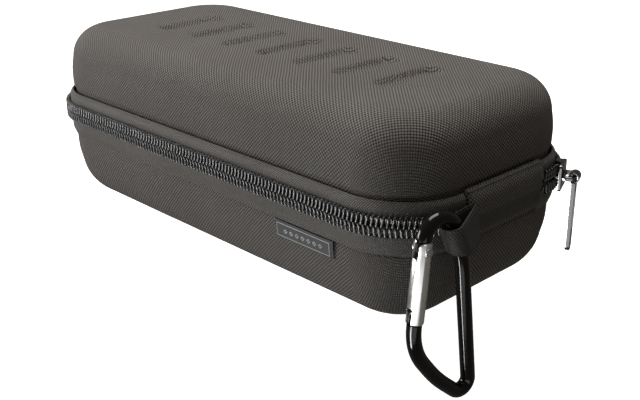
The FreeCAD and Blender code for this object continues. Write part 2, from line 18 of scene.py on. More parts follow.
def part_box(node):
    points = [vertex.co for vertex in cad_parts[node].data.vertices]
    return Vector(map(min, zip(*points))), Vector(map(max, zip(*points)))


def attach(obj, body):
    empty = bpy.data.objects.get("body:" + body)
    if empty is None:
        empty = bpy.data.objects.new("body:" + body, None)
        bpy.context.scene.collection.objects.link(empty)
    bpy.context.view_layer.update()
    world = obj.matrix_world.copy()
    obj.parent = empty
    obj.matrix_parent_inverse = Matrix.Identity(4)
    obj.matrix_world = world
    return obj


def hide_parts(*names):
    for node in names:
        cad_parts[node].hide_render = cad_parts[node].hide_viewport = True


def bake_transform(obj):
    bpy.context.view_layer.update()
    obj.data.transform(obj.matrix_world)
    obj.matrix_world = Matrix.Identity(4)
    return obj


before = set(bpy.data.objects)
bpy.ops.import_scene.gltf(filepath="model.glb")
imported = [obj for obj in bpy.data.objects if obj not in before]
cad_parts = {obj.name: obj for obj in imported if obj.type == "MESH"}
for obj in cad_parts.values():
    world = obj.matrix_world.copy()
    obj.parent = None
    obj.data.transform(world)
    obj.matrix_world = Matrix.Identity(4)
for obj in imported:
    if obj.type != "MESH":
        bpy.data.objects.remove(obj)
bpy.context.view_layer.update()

MM = 0.001
log = logging.getLogger("case")

Spot = tuple[float, float]
Place = tuple[float, float, float]
Colour = tuple[float, float, float, float]
Station = tuple[float, float, float, float]
Stretch = tuple[float, Callable[[float], Station]]
Rows = list[list[Vector]]
Weave = list[list[Spot]]


# Shader maths


class Wire:
    """One value in a material's node tree, or a plain number, with arithmetic that adds Math nodes."""

    def __init__(self, board: "Board", source: bpy.types.NodeSocket | float) -> None:
        """Keep the board and the socket or number."""
        self.board = board
        self.source = source

    def _math(self, operation: str, *others: "Wire | float") -> "Wire":
        """Add a Math node of this and other values.

        Args:
            operation: the Math node's operation.
            others: the second and third values.

        Returns:
            The node's result.
        """
        return self.board.node("ShaderNodeMath", {"operation": operation}, dict(enumerate([self, *others])))

    def __add__(self, other: "Wire | float") -> "Wire":
        """Sum."""
        return self._math("ADD", other)

    __radd__ = __add__

    def __sub__(self, other: "Wire | float") -> "Wire":
        """Difference."""
        return self._math("SUBTRACT", other)

    def __rsub__(self, other: "Wire | float") -> "Wire":
        """Reflected difference."""
        return Wire(self.board, other)._math("SUBTRACT", self)

    def __mul__(self, other: "Wire | float") -> "Wire":
        """Product."""
        return self._math("MULTIPLY", other)

    __rmul__ = __mul__

    def __truediv__(self, other: "Wire | float") -> "Wire":
        """Quotient."""
        return self._math("DIVIDE", other)

    def __rtruediv__(self, other: "Wire | float") -> "Wire":
        """Reflected quotient."""
        return Wire(self.board, other)._math("DIVIDE", self)

    def __mod__(self, other: "Wire | float") -> "Wire":
        """Remainder that is never negative."""
        return self._math("FLOORED_MODULO", other)

    def __rmod__(self, other: "Wire | float") -> "Wire":
        """Reflected remainder."""
        return Wire(self.board, other)._math("FLOORED_MODULO", self)

    def sine(self) -> "Wire":
        """Sine of an angle in radians."""
        return self._math("SINE")

    def size(self) -> "Wire":
        """Absolute value."""
        return self._math("ABSOLUTE")

    def ramp(self, low: float, high: float) -> "Wire":
        """Smooth step from 0 at low to 1 at high.

        Args:
            low: value that gives 0.
            high: value that gives 1.

        Returns:
            The stepped value.
        """
        settings = {"interpolation_type": "SMOOTHSTEP"}
        values = {"Value": self, "From Min": low, "From Max": high}
        return self.board.node("ShaderNodeMapRange", settings, values)


class Board:
    """A material and the nodes that make it."""

    def __init__(self, name: str) -> None:
        """Start an empty material.

        Args:
            name: the material's name.
        """
        self.material = bpy.data.materials.new(name)
        self.material.use_nodes = True
        self.tree = self.material.node_tree
        self.tree.nodes.clear()

    def add(self, kind: str, settings: dict[str, object], values: dict[str | int, object]) -> bpy.types.Node:
        """Add a node, set it up and feed it.

        Args:
            kind: the node's type.
            settings: its properties, and "stops" for a colour ramp.
            values: what goes into its sockets, by name or number.

        Returns:
            The node.
        """
        made = self.tree.nodes.new(kind)
        for key, value in settings.items():
            if key != "stops":
                setattr(made, key, value)
        for key, value in values.items():
            if isinstance(value, Wire):
                value = value.source
            if isinstance(value, bpy.types.NodeSocket):
                self.tree.links.new(value, made.inputs[key])
            else:
                made.inputs[key].default_value = value
        return made

    def node(
        self,
        kind: str,
        settings: dict[str, object] | None = None,
        values: dict[str | int, object] | None = None,
        result: str | int = 0,
    ) -> Wire:
        """Add any node and give one of its results.

        Args:
            kind: the node's type.
            settings: its properties.
            values: what goes into its sockets.
            result: which output is wanted.

        Returns:
            That output.
        """
        return Wire(self, self.add(kind, settings or {}, values or {}).outputs[result])

    def cloth(self) -> tuple[Wire, Wire]:
        """Distances in millimetres along and across the cloth.

        Returns:
            The two distances.
        """
        spot = self.node("ShaderNodeUVMap", {"uv_map": "cloth"})
        parts = self.add("ShaderNodeSeparateXYZ", {}, {0: spot})
        return Wire(self, parts.outputs[0]), Wire(self, parts.outputs[1])

    def noise(self, per_metre: float, detail: float = 3.0) -> Wire:
        """Even noise in the object's own space.

        Args:
            per_metre: how many lumps there are to a metre.
            detail: octaves.

        Returns:
            A value about 0.5.
        """
        place = self.node("ShaderNodeTexCoord", result="Object")
        return self.node("ShaderNodeTexNoise", {}, {"Vector": place, "Scale": per_metre, "Detail": detail})

    def fuzz(self, per_metre: float, detail: float = 2.0) -> Wire:
        """Stray fibres of a cloth, 0 to 1."""
        return self.noise(per_metre, detail).ramp(0.3, 0.7)

    def mix(self, share: Wire | float, low: object, high: object) -> Wire:
        """Blend of two colours.

        Args:
            share: 0 for low, 1 for high.
            low: colour or wire.
            high: colour or wire.

        Returns:
            The colour.
        """
        made = self.add("ShaderNodeMix", {"data_type": "RGBA"}, {0: share, 6: low, 7: high})
        return Wire(self, made.outputs[2])

    def bump(self, height: Wire, depth: float) -> Wire:
        """Surface normal bent by a height.

        Args:
            height: 0 to 1.
            depth: how deep the full height is, in metres.

        Returns:
            The normal.
        """
        return self.node("ShaderNodeBump", {}, {"Height": height, "Distance": depth})

    def finish(self, values: dict[str | int, object]) -> bpy.types.Material:
        """Close the material with a Principled shader.

        Args:
            values: what goes into the shader.

        Returns:
            The material.
        """
        shader = self.add("ShaderNodeBsdfPrincipled", {}, values)
        self.add("ShaderNodeOutputMaterial", {}, {0: shader.outputs[0]})
        return self.material


def grey(level: float, warmth: float = 0.0) -> Colour:
    """Grey of a linear level, warmer in the reds by warmth.

    Args:
        level: linear brightness.
        warmth: share added to red and taken from blue.

    Returns:
        The colour.
    """
    return level * (1 + warmth), level, level * (1 - warmth), 1.0


# Finishes


@dataclass(frozen=True)
class Nap:
    """How a cloth takes the light: roughness, what its fuzz adds to that, shine and sheen."""

    rough: float
    spread: float
    shine: float = 0.3
    sheen: float = 0.0


class Cloth(ABC):
    """A finish made from a weave."""

    name: str
    depth: float
    nap: Nap

    @abstractmethod
    def weave(self, board: Board) -> tuple[Wire, Wire, Wire]:
        """Height, colour and fuzz of the cloth.

        Args:
            board: the material's board.

        Returns:
            The three values.
        """

    def make(self) -> bpy.types.Material:
        """Material of the cloth.

        Returns:
            The material.
        """
        board = Board(self.name)
        height, colour, fuzz = self.weave(board)
        return board.finish(
            {
                "Base Color": colour,
                "Roughness": fuzz * self.nap.spread + self.nap.rough,
                "Specular IOR Level": self.nap.shine,
                "Sheen Weight": self.nap.sheen,
                "Normal": board.bump(height, self.depth),
            }
        )


@dataclass(frozen=True)
class RibbedNylon(Cloth):
    """Coarse nylon cloth whose yarns show as rows of small lumps."""

    name: str = "ribbed_nylon"
    yarn: float = 0.8
    low: float = 0.01
    high: float = 0.265
    warmth: float = 0.12
    depth: float = 0.26 * MM
    nap: Nap = Nap(0.62, 0.16, 0.2, 0.03)

    def weave(self, board: Board) -> tuple[Wire, Wire, Wire]:
        """Lumps where the yarns cross, in uneven rows.

        Args:
            board: the material's board.

        Returns:
            Height, colour and fuzz.
        """
        along, across = board.cloth()
        wander = (board.noise(60.0) - 0.5) * 0.5
        turn = math.pi / self.yarn
        lumps = ((along + wander) * turn).sine() * ((across + wander) * turn).sine()
        thread = (along * turn).sine().size() * 0.25
        blotch = board.noise(22.0, 4.0).ramp(0.25, 0.8)
        fuzz = board.fuzz(1400.0)
        share = (lumps + thread).ramp(-0.6, 0.95) * 0.86 + fuzz * 0.14
        dark = grey(self.low, self.warmth * 2.0)
        dull, pale = grey(self.high * 0.86, self.warmth * 0.7), grey(self.high, self.warmth * 0.5)
        return share, board.mix(share, dark, board.mix(blotch, dull, pale)), fuzz


@dataclass(frozen=True)
class HerringboneTape(Cloth):
    """Zip tape woven in a herringbone."""

    name: str = "herringbone_tape"
    rib: float = 1.15
    band: float = 4.6
    low: float = 0.025
    high: float = 0.22
    warmth: float = 0.08
    depth: float = 0.2 * MM
    nap: Nap = Nap(0.6, 0.2, 0.3, 0.1)

    def weave(self, board: Board) -> tuple[Wire, Wire, Wire]:
        """Ribs that turn back at each band.

        Args:
            board: the material's board.

        Returns:
            Height, colour and fuzz.
        """
        along, across = board.cloth()
        fold = ((across / self.band) % 2.0 - 1.0).size() * self.band
        ribs = ((along + fold) * (2 * math.pi / self.rib)).sine()
        fuzz = board.fuzz(1500.0)
        blotch = board.noise(30.0).ramp(0.3, 0.7)
        share = ribs.ramp(-1.0, 1.0) * 0.8 + fuzz * 0.2
        light = board.mix(blotch, grey(self.high * 0.85, self.warmth), grey(self.high, self.warmth))
        return share, board.mix(share, grey(self.low, self.warmth), light), fuzz


@dataclass(frozen=True)
class PanelCloth(Cloth):
    """Coarse nylon above a line and herringbone tape below it, as on the hinge end, both darkened as painted
    shade.
    """

    name: str = "panel_cloth"
    # Darker copies of the shell's nylon and the zip tape: painted shade for the hinge end, which faces away
    # from the lamps.
    upper: RibbedNylon = RibbedNylon(low=0.01, high=0.19)
    lower: HerringboneTape = HerringboneTape(low=0.012, high=0.12)
    change: float = 11.5
    depth: float = 0.26 * MM
    nap: Nap = Nap(0.64, 0.16, 0.3, 0.1)

    def weave(self, board: Board) -> tuple[Wire, Wire, Wire]:
        """One weave on each side of the line.

        Args:
            board: the material's board.

        Returns:
            Height, colour and fuzz.
        """
        side = board.cloth()[1].ramp(self.change - 0.1, self.change + 0.1)
        high, light, fuzz = self.upper.weave(board)
        low, dark, _ = self.lower.weave(board)
        return high * side + low * (1 - side), board.mix(side, dark, light), fuzz


@dataclass(frozen=True)
class WovenLabel(Cloth):
    """Fine grey tab with a plain pale border and a row of small lozenges woven in."""

    name: str = "label_cloth"
    centre: Spot = (16.0, 3.9)
    half: Spot = (14.6, 2.9)
    pitch: float = 3.2
    row: float = 11.5
    yarn: float = 0.32
    depth: float = 0.07 * MM
    nap: Nap = Nap(0.6, 0.15, 0.3)

    def weave(self, board: Board) -> tuple[Wire, Wire, Wire]:
        """Fine checks with the pale threads standing on them.

        Args:
            board: the material's board.

        Returns:
            Height, colour and fuzz.
        """
        along, across = board.cloth()
        off_x = (along - self.centre[0]).size()
        off_y = (across - self.centre[1]).size()

        def within(inner: float, outer: float) -> Wire:
            """Rectangle that fades out between two distances from the border's line."""
            wide, high = self.half
            return off_x.ramp(wide + outer, wide + inner) * off_y.ramp(high + outer, high + inner)

        step = ((along - self.centre[0]) / self.pitch + 0.5) % 1.0
        reach = ((step - 0.5) * self.pitch).size() + off_y
        lozenge = reach.ramp(1.16, 1.04) * reach.ramp(0.5, 0.6) * off_x.ramp(self.row, self.row - 0.1)
        pale = (within(-0.06, 0.06) - within(-0.38, -0.26)) + lozenge
        turn = math.pi / self.yarn
        picks = (along * turn).sine() * (across * turn).sine()
        fuzz = board.fuzz(1500.0)
        share = picks.ramp(-0.8, 0.8) * 0.55 + fuzz * 0.45
        ground = board.mix(share, (0.045, 0.05, 0.052, 1.0), (0.105, 0.115, 0.118, 1.0))
        thread = board.mix(share, grey(0.5), grey(0.85))
        return share + pale * 0.8, board.mix(pale, ground, thread), fuzz


@dataclass(frozen=True)
class Webbing(Cloth):
    """Black webbing with ribs across its length and painted shade along its edges."""

    name: str = "ribbed_webbing"
    rib: float = 1.05
    pick: float = 1.1
    width: float = 14.5
    low: float = 0.006
    high: float = 0.085
    depth: float = 0.25 * MM
    nap: Nap = Nap(0.5, 0.2, 0.35)

    def weave(self, board: Board) -> tuple[Wire, Wire, Wire]:
        """Ribs crossed by finer picks.

        Args:
            board: the material's board.

        Returns:
            Height, colour and fuzz.
        """
        along, across = board.cloth()
        ribs = (along * (math.pi / self.rib)).sine().size()
        picks = ((across + ribs * 0.3) * (2 * math.pi / self.pick)).sine() * 0.45
        fuzz = board.fuzz(1600.0)
        edge = self.width / 2
        # Painted shade: colour and height fall to dark over the last half millimetre at both edges of the
        # strip.
        middle = (across - edge).size().ramp(edge - 0.1, edge - 0.6)
        share = ((ribs + picks).ramp(0.0, 1.1) * 0.85 + fuzz * 0.15) * middle
        return share, board.mix(share, grey(self.low), grey(self.high, 0.03)), fuzz


@dataclass(frozen=True)
class FineCloth(Cloth):
    """Plain fine cloth: the knitted lining, the bindings or sewing thread."""

    name: str
    colour: float
    warmth: float = 0.0
    yarn: float = 0.55
    depth: float = 0.1 * MM
    nap: Nap = Nap(0.75, 0.15, 0.25, 0.2)

    def weave(self, board: Board) -> tuple[Wire, Wire, Wire]:
        """Fine wales that lean a little.

        Args:
            board: the material's board.

        Returns:
            Height, colour and fuzz.
        """
        along, across = board.cloth()
        turn = math.pi / self.yarn
        wales = (along * turn).sine().size() * ((across * turn + along * 0.6).sine() * 0.5 + 1.0)
        fuzz = board.fuzz(1200.0, 3.0)
        share = wales.ramp(0.0, 1.4) * 0.6 + fuzz * 0.4
        low, high = grey(self.colour * 0.55, self.warmth), grey(self.colour * 1.25, self.warmth)
        return share, board.mix(share, low, high), fuzz


@dataclass(frozen=True)
class Metal:
    """Plated, lacquered or bare metal with fine scratches."""

    name: str
    colour: Colour
    metallic: float
    rough: float
    spread: float
    shine: float = 0.5
    coat: float = 0.0
    scratch: float = 0.004 * MM

    def make(self) -> bpy.types.Material:
        """Material of one metal.

        Returns:
            The material.
        """
        board = Board(self.name)
        place = board.node("ShaderNodeTexCoord", result="Object")
        stretched = board.node("ShaderNodeMapping", {}, {"Vector": place, "Scale": (3.0, 3.0, 0.35)})
        fine = board.node("ShaderNodeTexNoise", {}, {"Vector": stretched, "Scale": 2200.0, "Detail": 3.0})
        smear = board.noise(120.0, 3.0).ramp(0.3, 0.75)
        lighter = [min(1.0, channel * 1.35) for channel in self.colour[:3]]
        worn = board.mix(smear * 0.3, self.colour, (*lighter, 1.0))
        return board.finish(
            {
                "Base Color": worn,
                "Metallic": self.metallic,
                "Roughness": self.rough + smear * self.spread + fine * (self.spread * 0.5),
                "Specular IOR Level": self.shine,
                "Coat Weight": self.coat,
                "Coat Roughness": 0.05,
                "Normal": board.bump(fine, self.scratch),
            }
        )


@dataclass(frozen=True)
class Filament:
    """Glossy black nylon filament of the zip's coil."""

    name: str = "coil_filament"

    def make(self) -> bpy.types.Material:
        """Material of the coils.

        Returns:
            The material.
        """
        board = Board(self.name)
        smear = board.noise(700.0, 2.0).ramp(0.3, 0.75)
        return board.finish(
            {
                "Base Color": board.mix(smear, grey(0.006), grey(0.016)),
                "Roughness": 0.36 + smear * 0.06,
                "Specular IOR Level": 1.0,
                "Normal": board.bump(smear, 0.004 * MM),
            }
        )


@dataclass(frozen=True)
class PalePaper:
    """Floor and plinth."""

    name: str = "pale_floor"
    glow: float = 1.0

    def make(self) -> bpy.types.Material:
        """Material of the stage.

        Returns:
            The material.
        """
        board = Board(self.name)
        tone = board.noise(3.0, 2.0).ramp(0.0, 1.0)
        return board.finish(
            {
                "Base Color": board.mix(tone, grey(0.82), grey(0.86)),
                "Specular IOR Level": 0.0,
                "Roughness": 0.8,
                "Emission Color": (1.0, 1.0, 1.0, 1.0),
                "Emission Strength": self.glow,
            }
        )


class Coat(Enum):
    """Every finish the case wears."""

    SHELL = RibbedNylon()
    PANEL = PanelCloth()
    TAPE = HerringboneTape()
    WEBBING = Webbing()
    LINING = FineCloth("knit_lining", 0.03)
    BINDING = FineCloth("rim_binding", 0.022, 0.0, 0.8)
    LABEL = WovenLabel()
    THREAD = FineCloth("sewing_thread", 0.16, 0.05, 0.3, 0.05 * MM, Nap(0.55, 0.15, 0.25, 0.2))
    FILAMENT = Filament()
    NICKEL = Metal("dark_nickel", grey(0.07, 0.05), 1.0, 0.14, 0.14)
    LACQUER = Metal("black_lacquer", grey(0.006, 0.1), 0.0, 0.06, 0.06, 0.3, 0.1)
    BRIGHT = Metal("bright_gate", grey(0.86), 1.0, 0.2, 0.14)
    STEEL = Metal("plain_steel", grey(0.5), 1.0, 0.25, 0.15)
    FLOOR = PalePaper()

    @property
    def material(self) -> bpy.types.Material:
        """The finish's material, made once."""
        return bpy.data.materials.get(self.value.name) or self.value.make()


# Outline and mesh helpers


@dataclass(frozen=True)
class Outline:
    """Rounded outline of the zip in plan, walked clockwise from the near right seam, in millimetres."""

    length: float = 240.0
    width: float = 115.0
    radius: float = 32.4
    seam: float = 23.8

    @property
    def corner(self) -> Spot:
        """Centre of the far right corner's arc."""
        return self.length / 2 - self.radius, self.width / 2 - self.radius

    @property
    def pieces(self) -> list[Stretch]:
        """Length of each piece and its position and outward normal at a distance.

        Returns:
            The pieces in order, the last along the hinge.
        """
        x, y = self.corner
        half_x, half_y = self.length / 2, self.width / 2

        def line(start: Spot, end: Spot) -> Stretch:
            """Straight piece from one spot to another.

            Args:
                start: where it begins.
                end: where it ends.

            Returns:
                Its length and its place at a distance.
            """
            size = math.dist(start, end)
            step = ((end[0] - start[0]) / size, (end[1] - start[1]) / size)
            return size, lambda d: (start[0] + d * step[0], start[1] + d * step[1], -step[1], step[0])

        def arc(centre: Spot, first: float) -> Stretch:
            """Quarter turn about a centre from a direction in degrees.

            Args:
                centre: the arc's centre.
                first: the direction where it begins.

            Returns:
                Its length and its place at a distance.
            """

            def at(distance: float) -> Station:
                """Place on the arc.

                Args:
                    distance: along the arc.

                Returns:
                    The position and the normal.
                """
                turn = math.radians(first) - distance / self.radius
                out = (math.cos(turn), math.sin(turn))
                return centre[0] + self.radius * out[0], centre[1] + self.radius * out[1], *out

            return self.radius * math.pi / 2, at

        return [
            line((half_x, -self.seam), (half_x, -y)),
            arc((x, -y), 0.0),
            line((x, -half_y), (-x, -half_y)),
            arc((-x, -y), -90.0),
            line((-half_x, -y), (-half_x, y)),
            arc((-x, y), 180.0),
            line((-x, half_y), (x, half_y)),
            arc((x, y), 90.0),
            line((half_x, y), (half_x, self.seam)),
            line((half_x, self.seam), (half_x, -self.seam)),
        ]

    @property
    def track(self) -> float:
        """Length of the zip."""
        return sum(size for size, _ in self.pieces[:-1])

    @property
    def whole(self) -> float:
        """Length of the closed outline."""
        return self.track + 2 * self.seam

    def at(self, distance: float) -> Station:
        """Position and outward normal at a distance round the outline.

        Args:
            distance: along the outline.

        Returns:
            The position and the normal.
        """
        distance %= self.whole
        for size, place in self.pieces:
            if distance <= size:
                return place(distance)
            distance -= size
        return self.pieces[0][1](0.0)

    def spot(self, distance: float, inset: float, height: float) -> Vector:
        """Point at a distance round the outline.

        Args:
            distance: along the outline.
            inset: inwards from the outline.
            height: above the parting line.

        Returns:
            The point in metres.
        """
        x, y, out_x, out_y = self.at(distance)
        return Vector((x - inset * out_x, y - inset * out_y, PARTING + height)) * MM

    def steps(self, straight: float, corner: int, end: float | None = None) -> list[float]:
        """Distances for a mesh: evenly spaced on the straights, and a number for each corner.

        Args:
            straight: spacing on the straights.
            corner: steps in a corner.
            end: where to stop, or the closed outline's end.

        Returns:
            The distances.
        """
        found, start = [], 0.0
        for index, (size, _) in enumerate(self.pieces):
            count = corner if index % 2 and index < 9 else max(1, round(size / straight))
            found += [start + size * step / count for step in range(count)]
            start += size
        limit = self.whole if end is None else end
        found = [d for d in found if d < limit - 0.2]
        return found if end is None else found + [end]


CASE_HEIGHT = 84.0
PARTING = 45.6
OUTLINE = Outline()
# Height from the parting line and inset of each half's side, to where its wall would meet the flat
BASE_RIM = [(-0.8, 5.0), (-11.2, 5.1), (-12.3, 5.0), (-12.7, 4.6), (-13.4, 4.28), (-14.4, 4.29)]
BASE_SIDE = [*BASE_RIM, (-PARTING, 8.4)]
LID_RIM = [(0.8, 5.0), (7.8, 5.4), (9.0, 5.6), (9.8, 5.5), (10.4, 5.05), (11.0, 4.68), (11.8, 4.6)]
LID_SIDE = [*LID_RIM, (CASE_HEIGHT - PARTING, 6.4)]
# The lower tape's hem: how far under the parting line it is, and its inset
HEM_DROP = 12.2
HEM_INSET = 4.0


def publish(
    mesh: bmesh.types.BMesh,
    name: str,
    coat: Coat,
    body: str | None,
    node: str | None = None,
    slot: str | None = None,
    sharp: float = 40.0,
) -> bpy.types.Object:
    """Turn a mesh into a dressed piece and report it.

    Args:
        mesh: the mesh, which is freed.
        name: the piece's name.
        coat: its finish.
        body: what it rides on, or None where it is blended later.
        node: the CAD node that it replaces.
        slot: the record's material slot; not used.
        sharp: edges above this angle in degrees stay sharp.

    Returns:
        The piece.
    """
    bmesh.ops.recalc_face_normals(mesh, faces=mesh.faces)
    data = bpy.data.meshes.new(name)
    mesh.to_mesh(data)
    mesh.free()
    data.materials.append(coat.material)
    data.shade_smooth()
    data.set_sharp_from_angle(angle=math.radians(sharp))
    piece = bpy.data.objects.new(name, data)
    bpy.context.scene.collection.objects.link(piece)
    if body:
        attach(piece, body)
    if node:
        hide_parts(node)
    log.info("%s: %d faces", name, len(data.polygons))
    return piece


def skin(
    rows: Sequence[Sequence[Vector]],
    weave: Sequence[Sequence[Spot]],
    around: bool = True,
    along: bool = False,
    lapped: bool = True,
) -> bmesh.types.BMesh:
    """Quads through rows of points, with the cloth's own coordinates.

    Args:
        rows: the points.
        weave: distances in millimetres for the weave, one for each point.
        around: each row closes on itself.
        along: the last row joins the first.
        lapped: the cloth's coordinates run on past where a row closes.

    Returns:
        The mesh.
    """
    mesh = bmesh.new()
    layer = mesh.loops.layers.uv.new("cloth")
    grid = [[mesh.verts.new(point) for point in row] for row in rows]
    height, width = len(grid), len(grid[0])
    for i in range(height if along else height - 1):
        for j in range(width if around else width - 1):
            next_i, next_j = (i + 1) % height, (j + 1) % width
            corners = [(i, j), (i, next_j), (next_i, next_j), (next_i, j)]
            face = mesh.faces.new([grid[a][b] for a, b in corners])
            for loop, (a, b) in zip(face.loops, corners):
                u, v = weave[a][b]
                if around and lapped and j == width - 1 and b == 0:
                    u = weave[a][width - 1][0] + (weave[a][1][0] - weave[a][0][0])
                if along and i == height - 1 and a == 0:
                    v = weave[height - 1][b][1] + (weave[1][b][1] - weave[0][b][1])
                loop[layer].uv = (u, v)
    return mesh


def swept(
    loop: Sequence[Spot], stations: Sequence[float], place: Callable[[float, float, float], Vector]
) -> tuple[Rows, Weave]:
    """Rows for a section that is carried along a line.

    Args:
        loop: the section, as insets and heights in millimetres.
        stations: distances along the line in millimetres.
        place: the point at a distance, inset and height.

    Returns:
        The points and their cloth coordinates.
    """
    run, rows, weave = 0.0, [], []
    for index, spot in enumerate(loop):
        run += math.dist(loop[index - 1], spot) if index else 0.0
        rows.append([place(station, *spot) for station in stations])
        weave.append([(station, run) for station in stations])
    return rows, weave


def wrapped(rows: Rows, weave: Weave) -> bmesh.types.BMesh:
    """Strip with a closed section and filled ends.

    Args:
        rows: the points.
        weave: their cloth coordinates.

    Returns:
        The mesh.
    """
    mesh = skin(rows, weave, around=False, along=True)
    bmesh.ops.holes_fill(mesh, edges=[e for e in mesh.edges if e.is_boundary], sides=0)
    return mesh


def strand(
    path: Sequence[Vector],
    radius: float,
    sides: int = 8,
    mesh: bmesh.types.BMesh | None = None,
) -> bmesh.types.BMesh:
    """Round tube along a path.

    Args:
        path: its centre line in metres.
        radius: in metres.
        sides: facets round it.
        mesh: a mesh to add to.

    Returns:
        The mesh.
    """
    mesh = mesh or bmesh.new()
    layer = mesh.loops.layers.uv.get("cloth") or mesh.loops.layers.uv.new("cloth")
    tangent = (path[1] - path[0]).normalized()
    side = tangent.orthogonal().normalized()
    turns = [2 * math.pi * k / sides for k in range(sides)]
    facet = 2 * math.pi * radius / MM / sides
    rings, run, travelled = [], 0.0, []
    for index, point in enumerate(path):
        before, after = path[max(index - 1, 0)], path[min(index + 1, len(path) - 1)]
        tangent = (after - before).normalized()
        side = (side - tangent * side.dot(tangent)).normalized()
        other = tangent.cross(side)
        spokes = [math.cos(turn) * side + math.sin(turn) * other for turn in turns]
        rings.append([mesh.verts.new(point + radius * spoke) for spoke in spokes])
        run += (point - path[index - 1]).length if index else 0.0
        travelled.append(run / MM)
    for low, high, start, end in zip(rings, rings[1:], travelled, travelled[1:]):
        for k in range(sides):
            face = mesh.faces.new([low[k], low[(k + 1) % sides], high[(k + 1) % sides], high[k]])
            for loop, (u, v) in zip(face.loops, [(start, k), (start, k + 1), (end, k + 1), (end, k)]):
                loop[layer].uv = (u, v * facet)
    mesh.faces.new(rings[0][::-1])
    mesh.faces.new(rings[-1])
    return mesh


def rounded(stops: Sequence[Spot], radii: Sequence[float]) -> list[Spot]:
    """Path whose corners are rounded by arcs.

    Args:
        stops: start, corners and end.
        radii: one for each corner.

    Returns:
        The path's points.
    """
    path = [stops[0]]
    for before, corner, after, radius in zip(stops, stops[1:], stops[2:], radii):
        middle = Vector(corner)
        a, b = (Vector(before) - middle).normalized(), (Vector(after) - middle).normalized()
        half = a.angle(b) / 2
        centre = middle + (a + b).normalized() * (radius / math.sin(half))
        arms = [middle + arm * (radius / math.tan(half)) - centre for arm in (a, b)]
        first, last = (math.atan2(arm.y, arm.x) for arm in arms)
        sweep = (last - first + math.pi) % (2 * math.pi) - math.pi
        count = max(4, math.ceil(abs(sweep) / math.radians(5)))
        angles = [first + sweep * k / count for k in range(count + 1)]
        path += [(centre.x + radius * math.cos(t), centre.y + radius * math.sin(t)) for t in angles]
    return [*path, stops[-1]]


def refined(node: str, coat: Coat, body: str, slot: str, bevel: float, name: str) -> bpy.types.Object:
    """A rigid CAD solid with its edges broken and its curves smoothed.

    Args:
        node: the CAD node that it replaces.
        coat: its finish.
        body: what it rides on.
        slot: the record's material slot.
        bevel: width of the broken edges in metres.
        name: the piece's name.

    Returns:
        The piece.
    """
    mesh = bmesh.new()
    mesh.from_mesh(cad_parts[node].data)
    bmesh.ops.remove_doubles(mesh, verts=mesh.verts, dist=0.002 * MM)
    bmesh.ops.dissolve_limit(mesh, angle_limit=math.radians(0.6), verts=mesh.verts, edges=mesh.edges)
    edges = [e for e in mesh.edges if len(e.link_faces) == 2 and e.calc_face_angle() > math.radians(35)]
    bmesh.ops.bevel(
        mesh,
        geom=edges,
        offset=bevel,
        offset_type="OFFSET",
        segments=2,
        profile=0.5,
        affect="EDGES",
        clamp_overlap=True,
    )
    mesh.loops.layers.uv.new("cloth")
    return publish(mesh, name, coat, body, node, slot, 38.0)


# The moulded halves


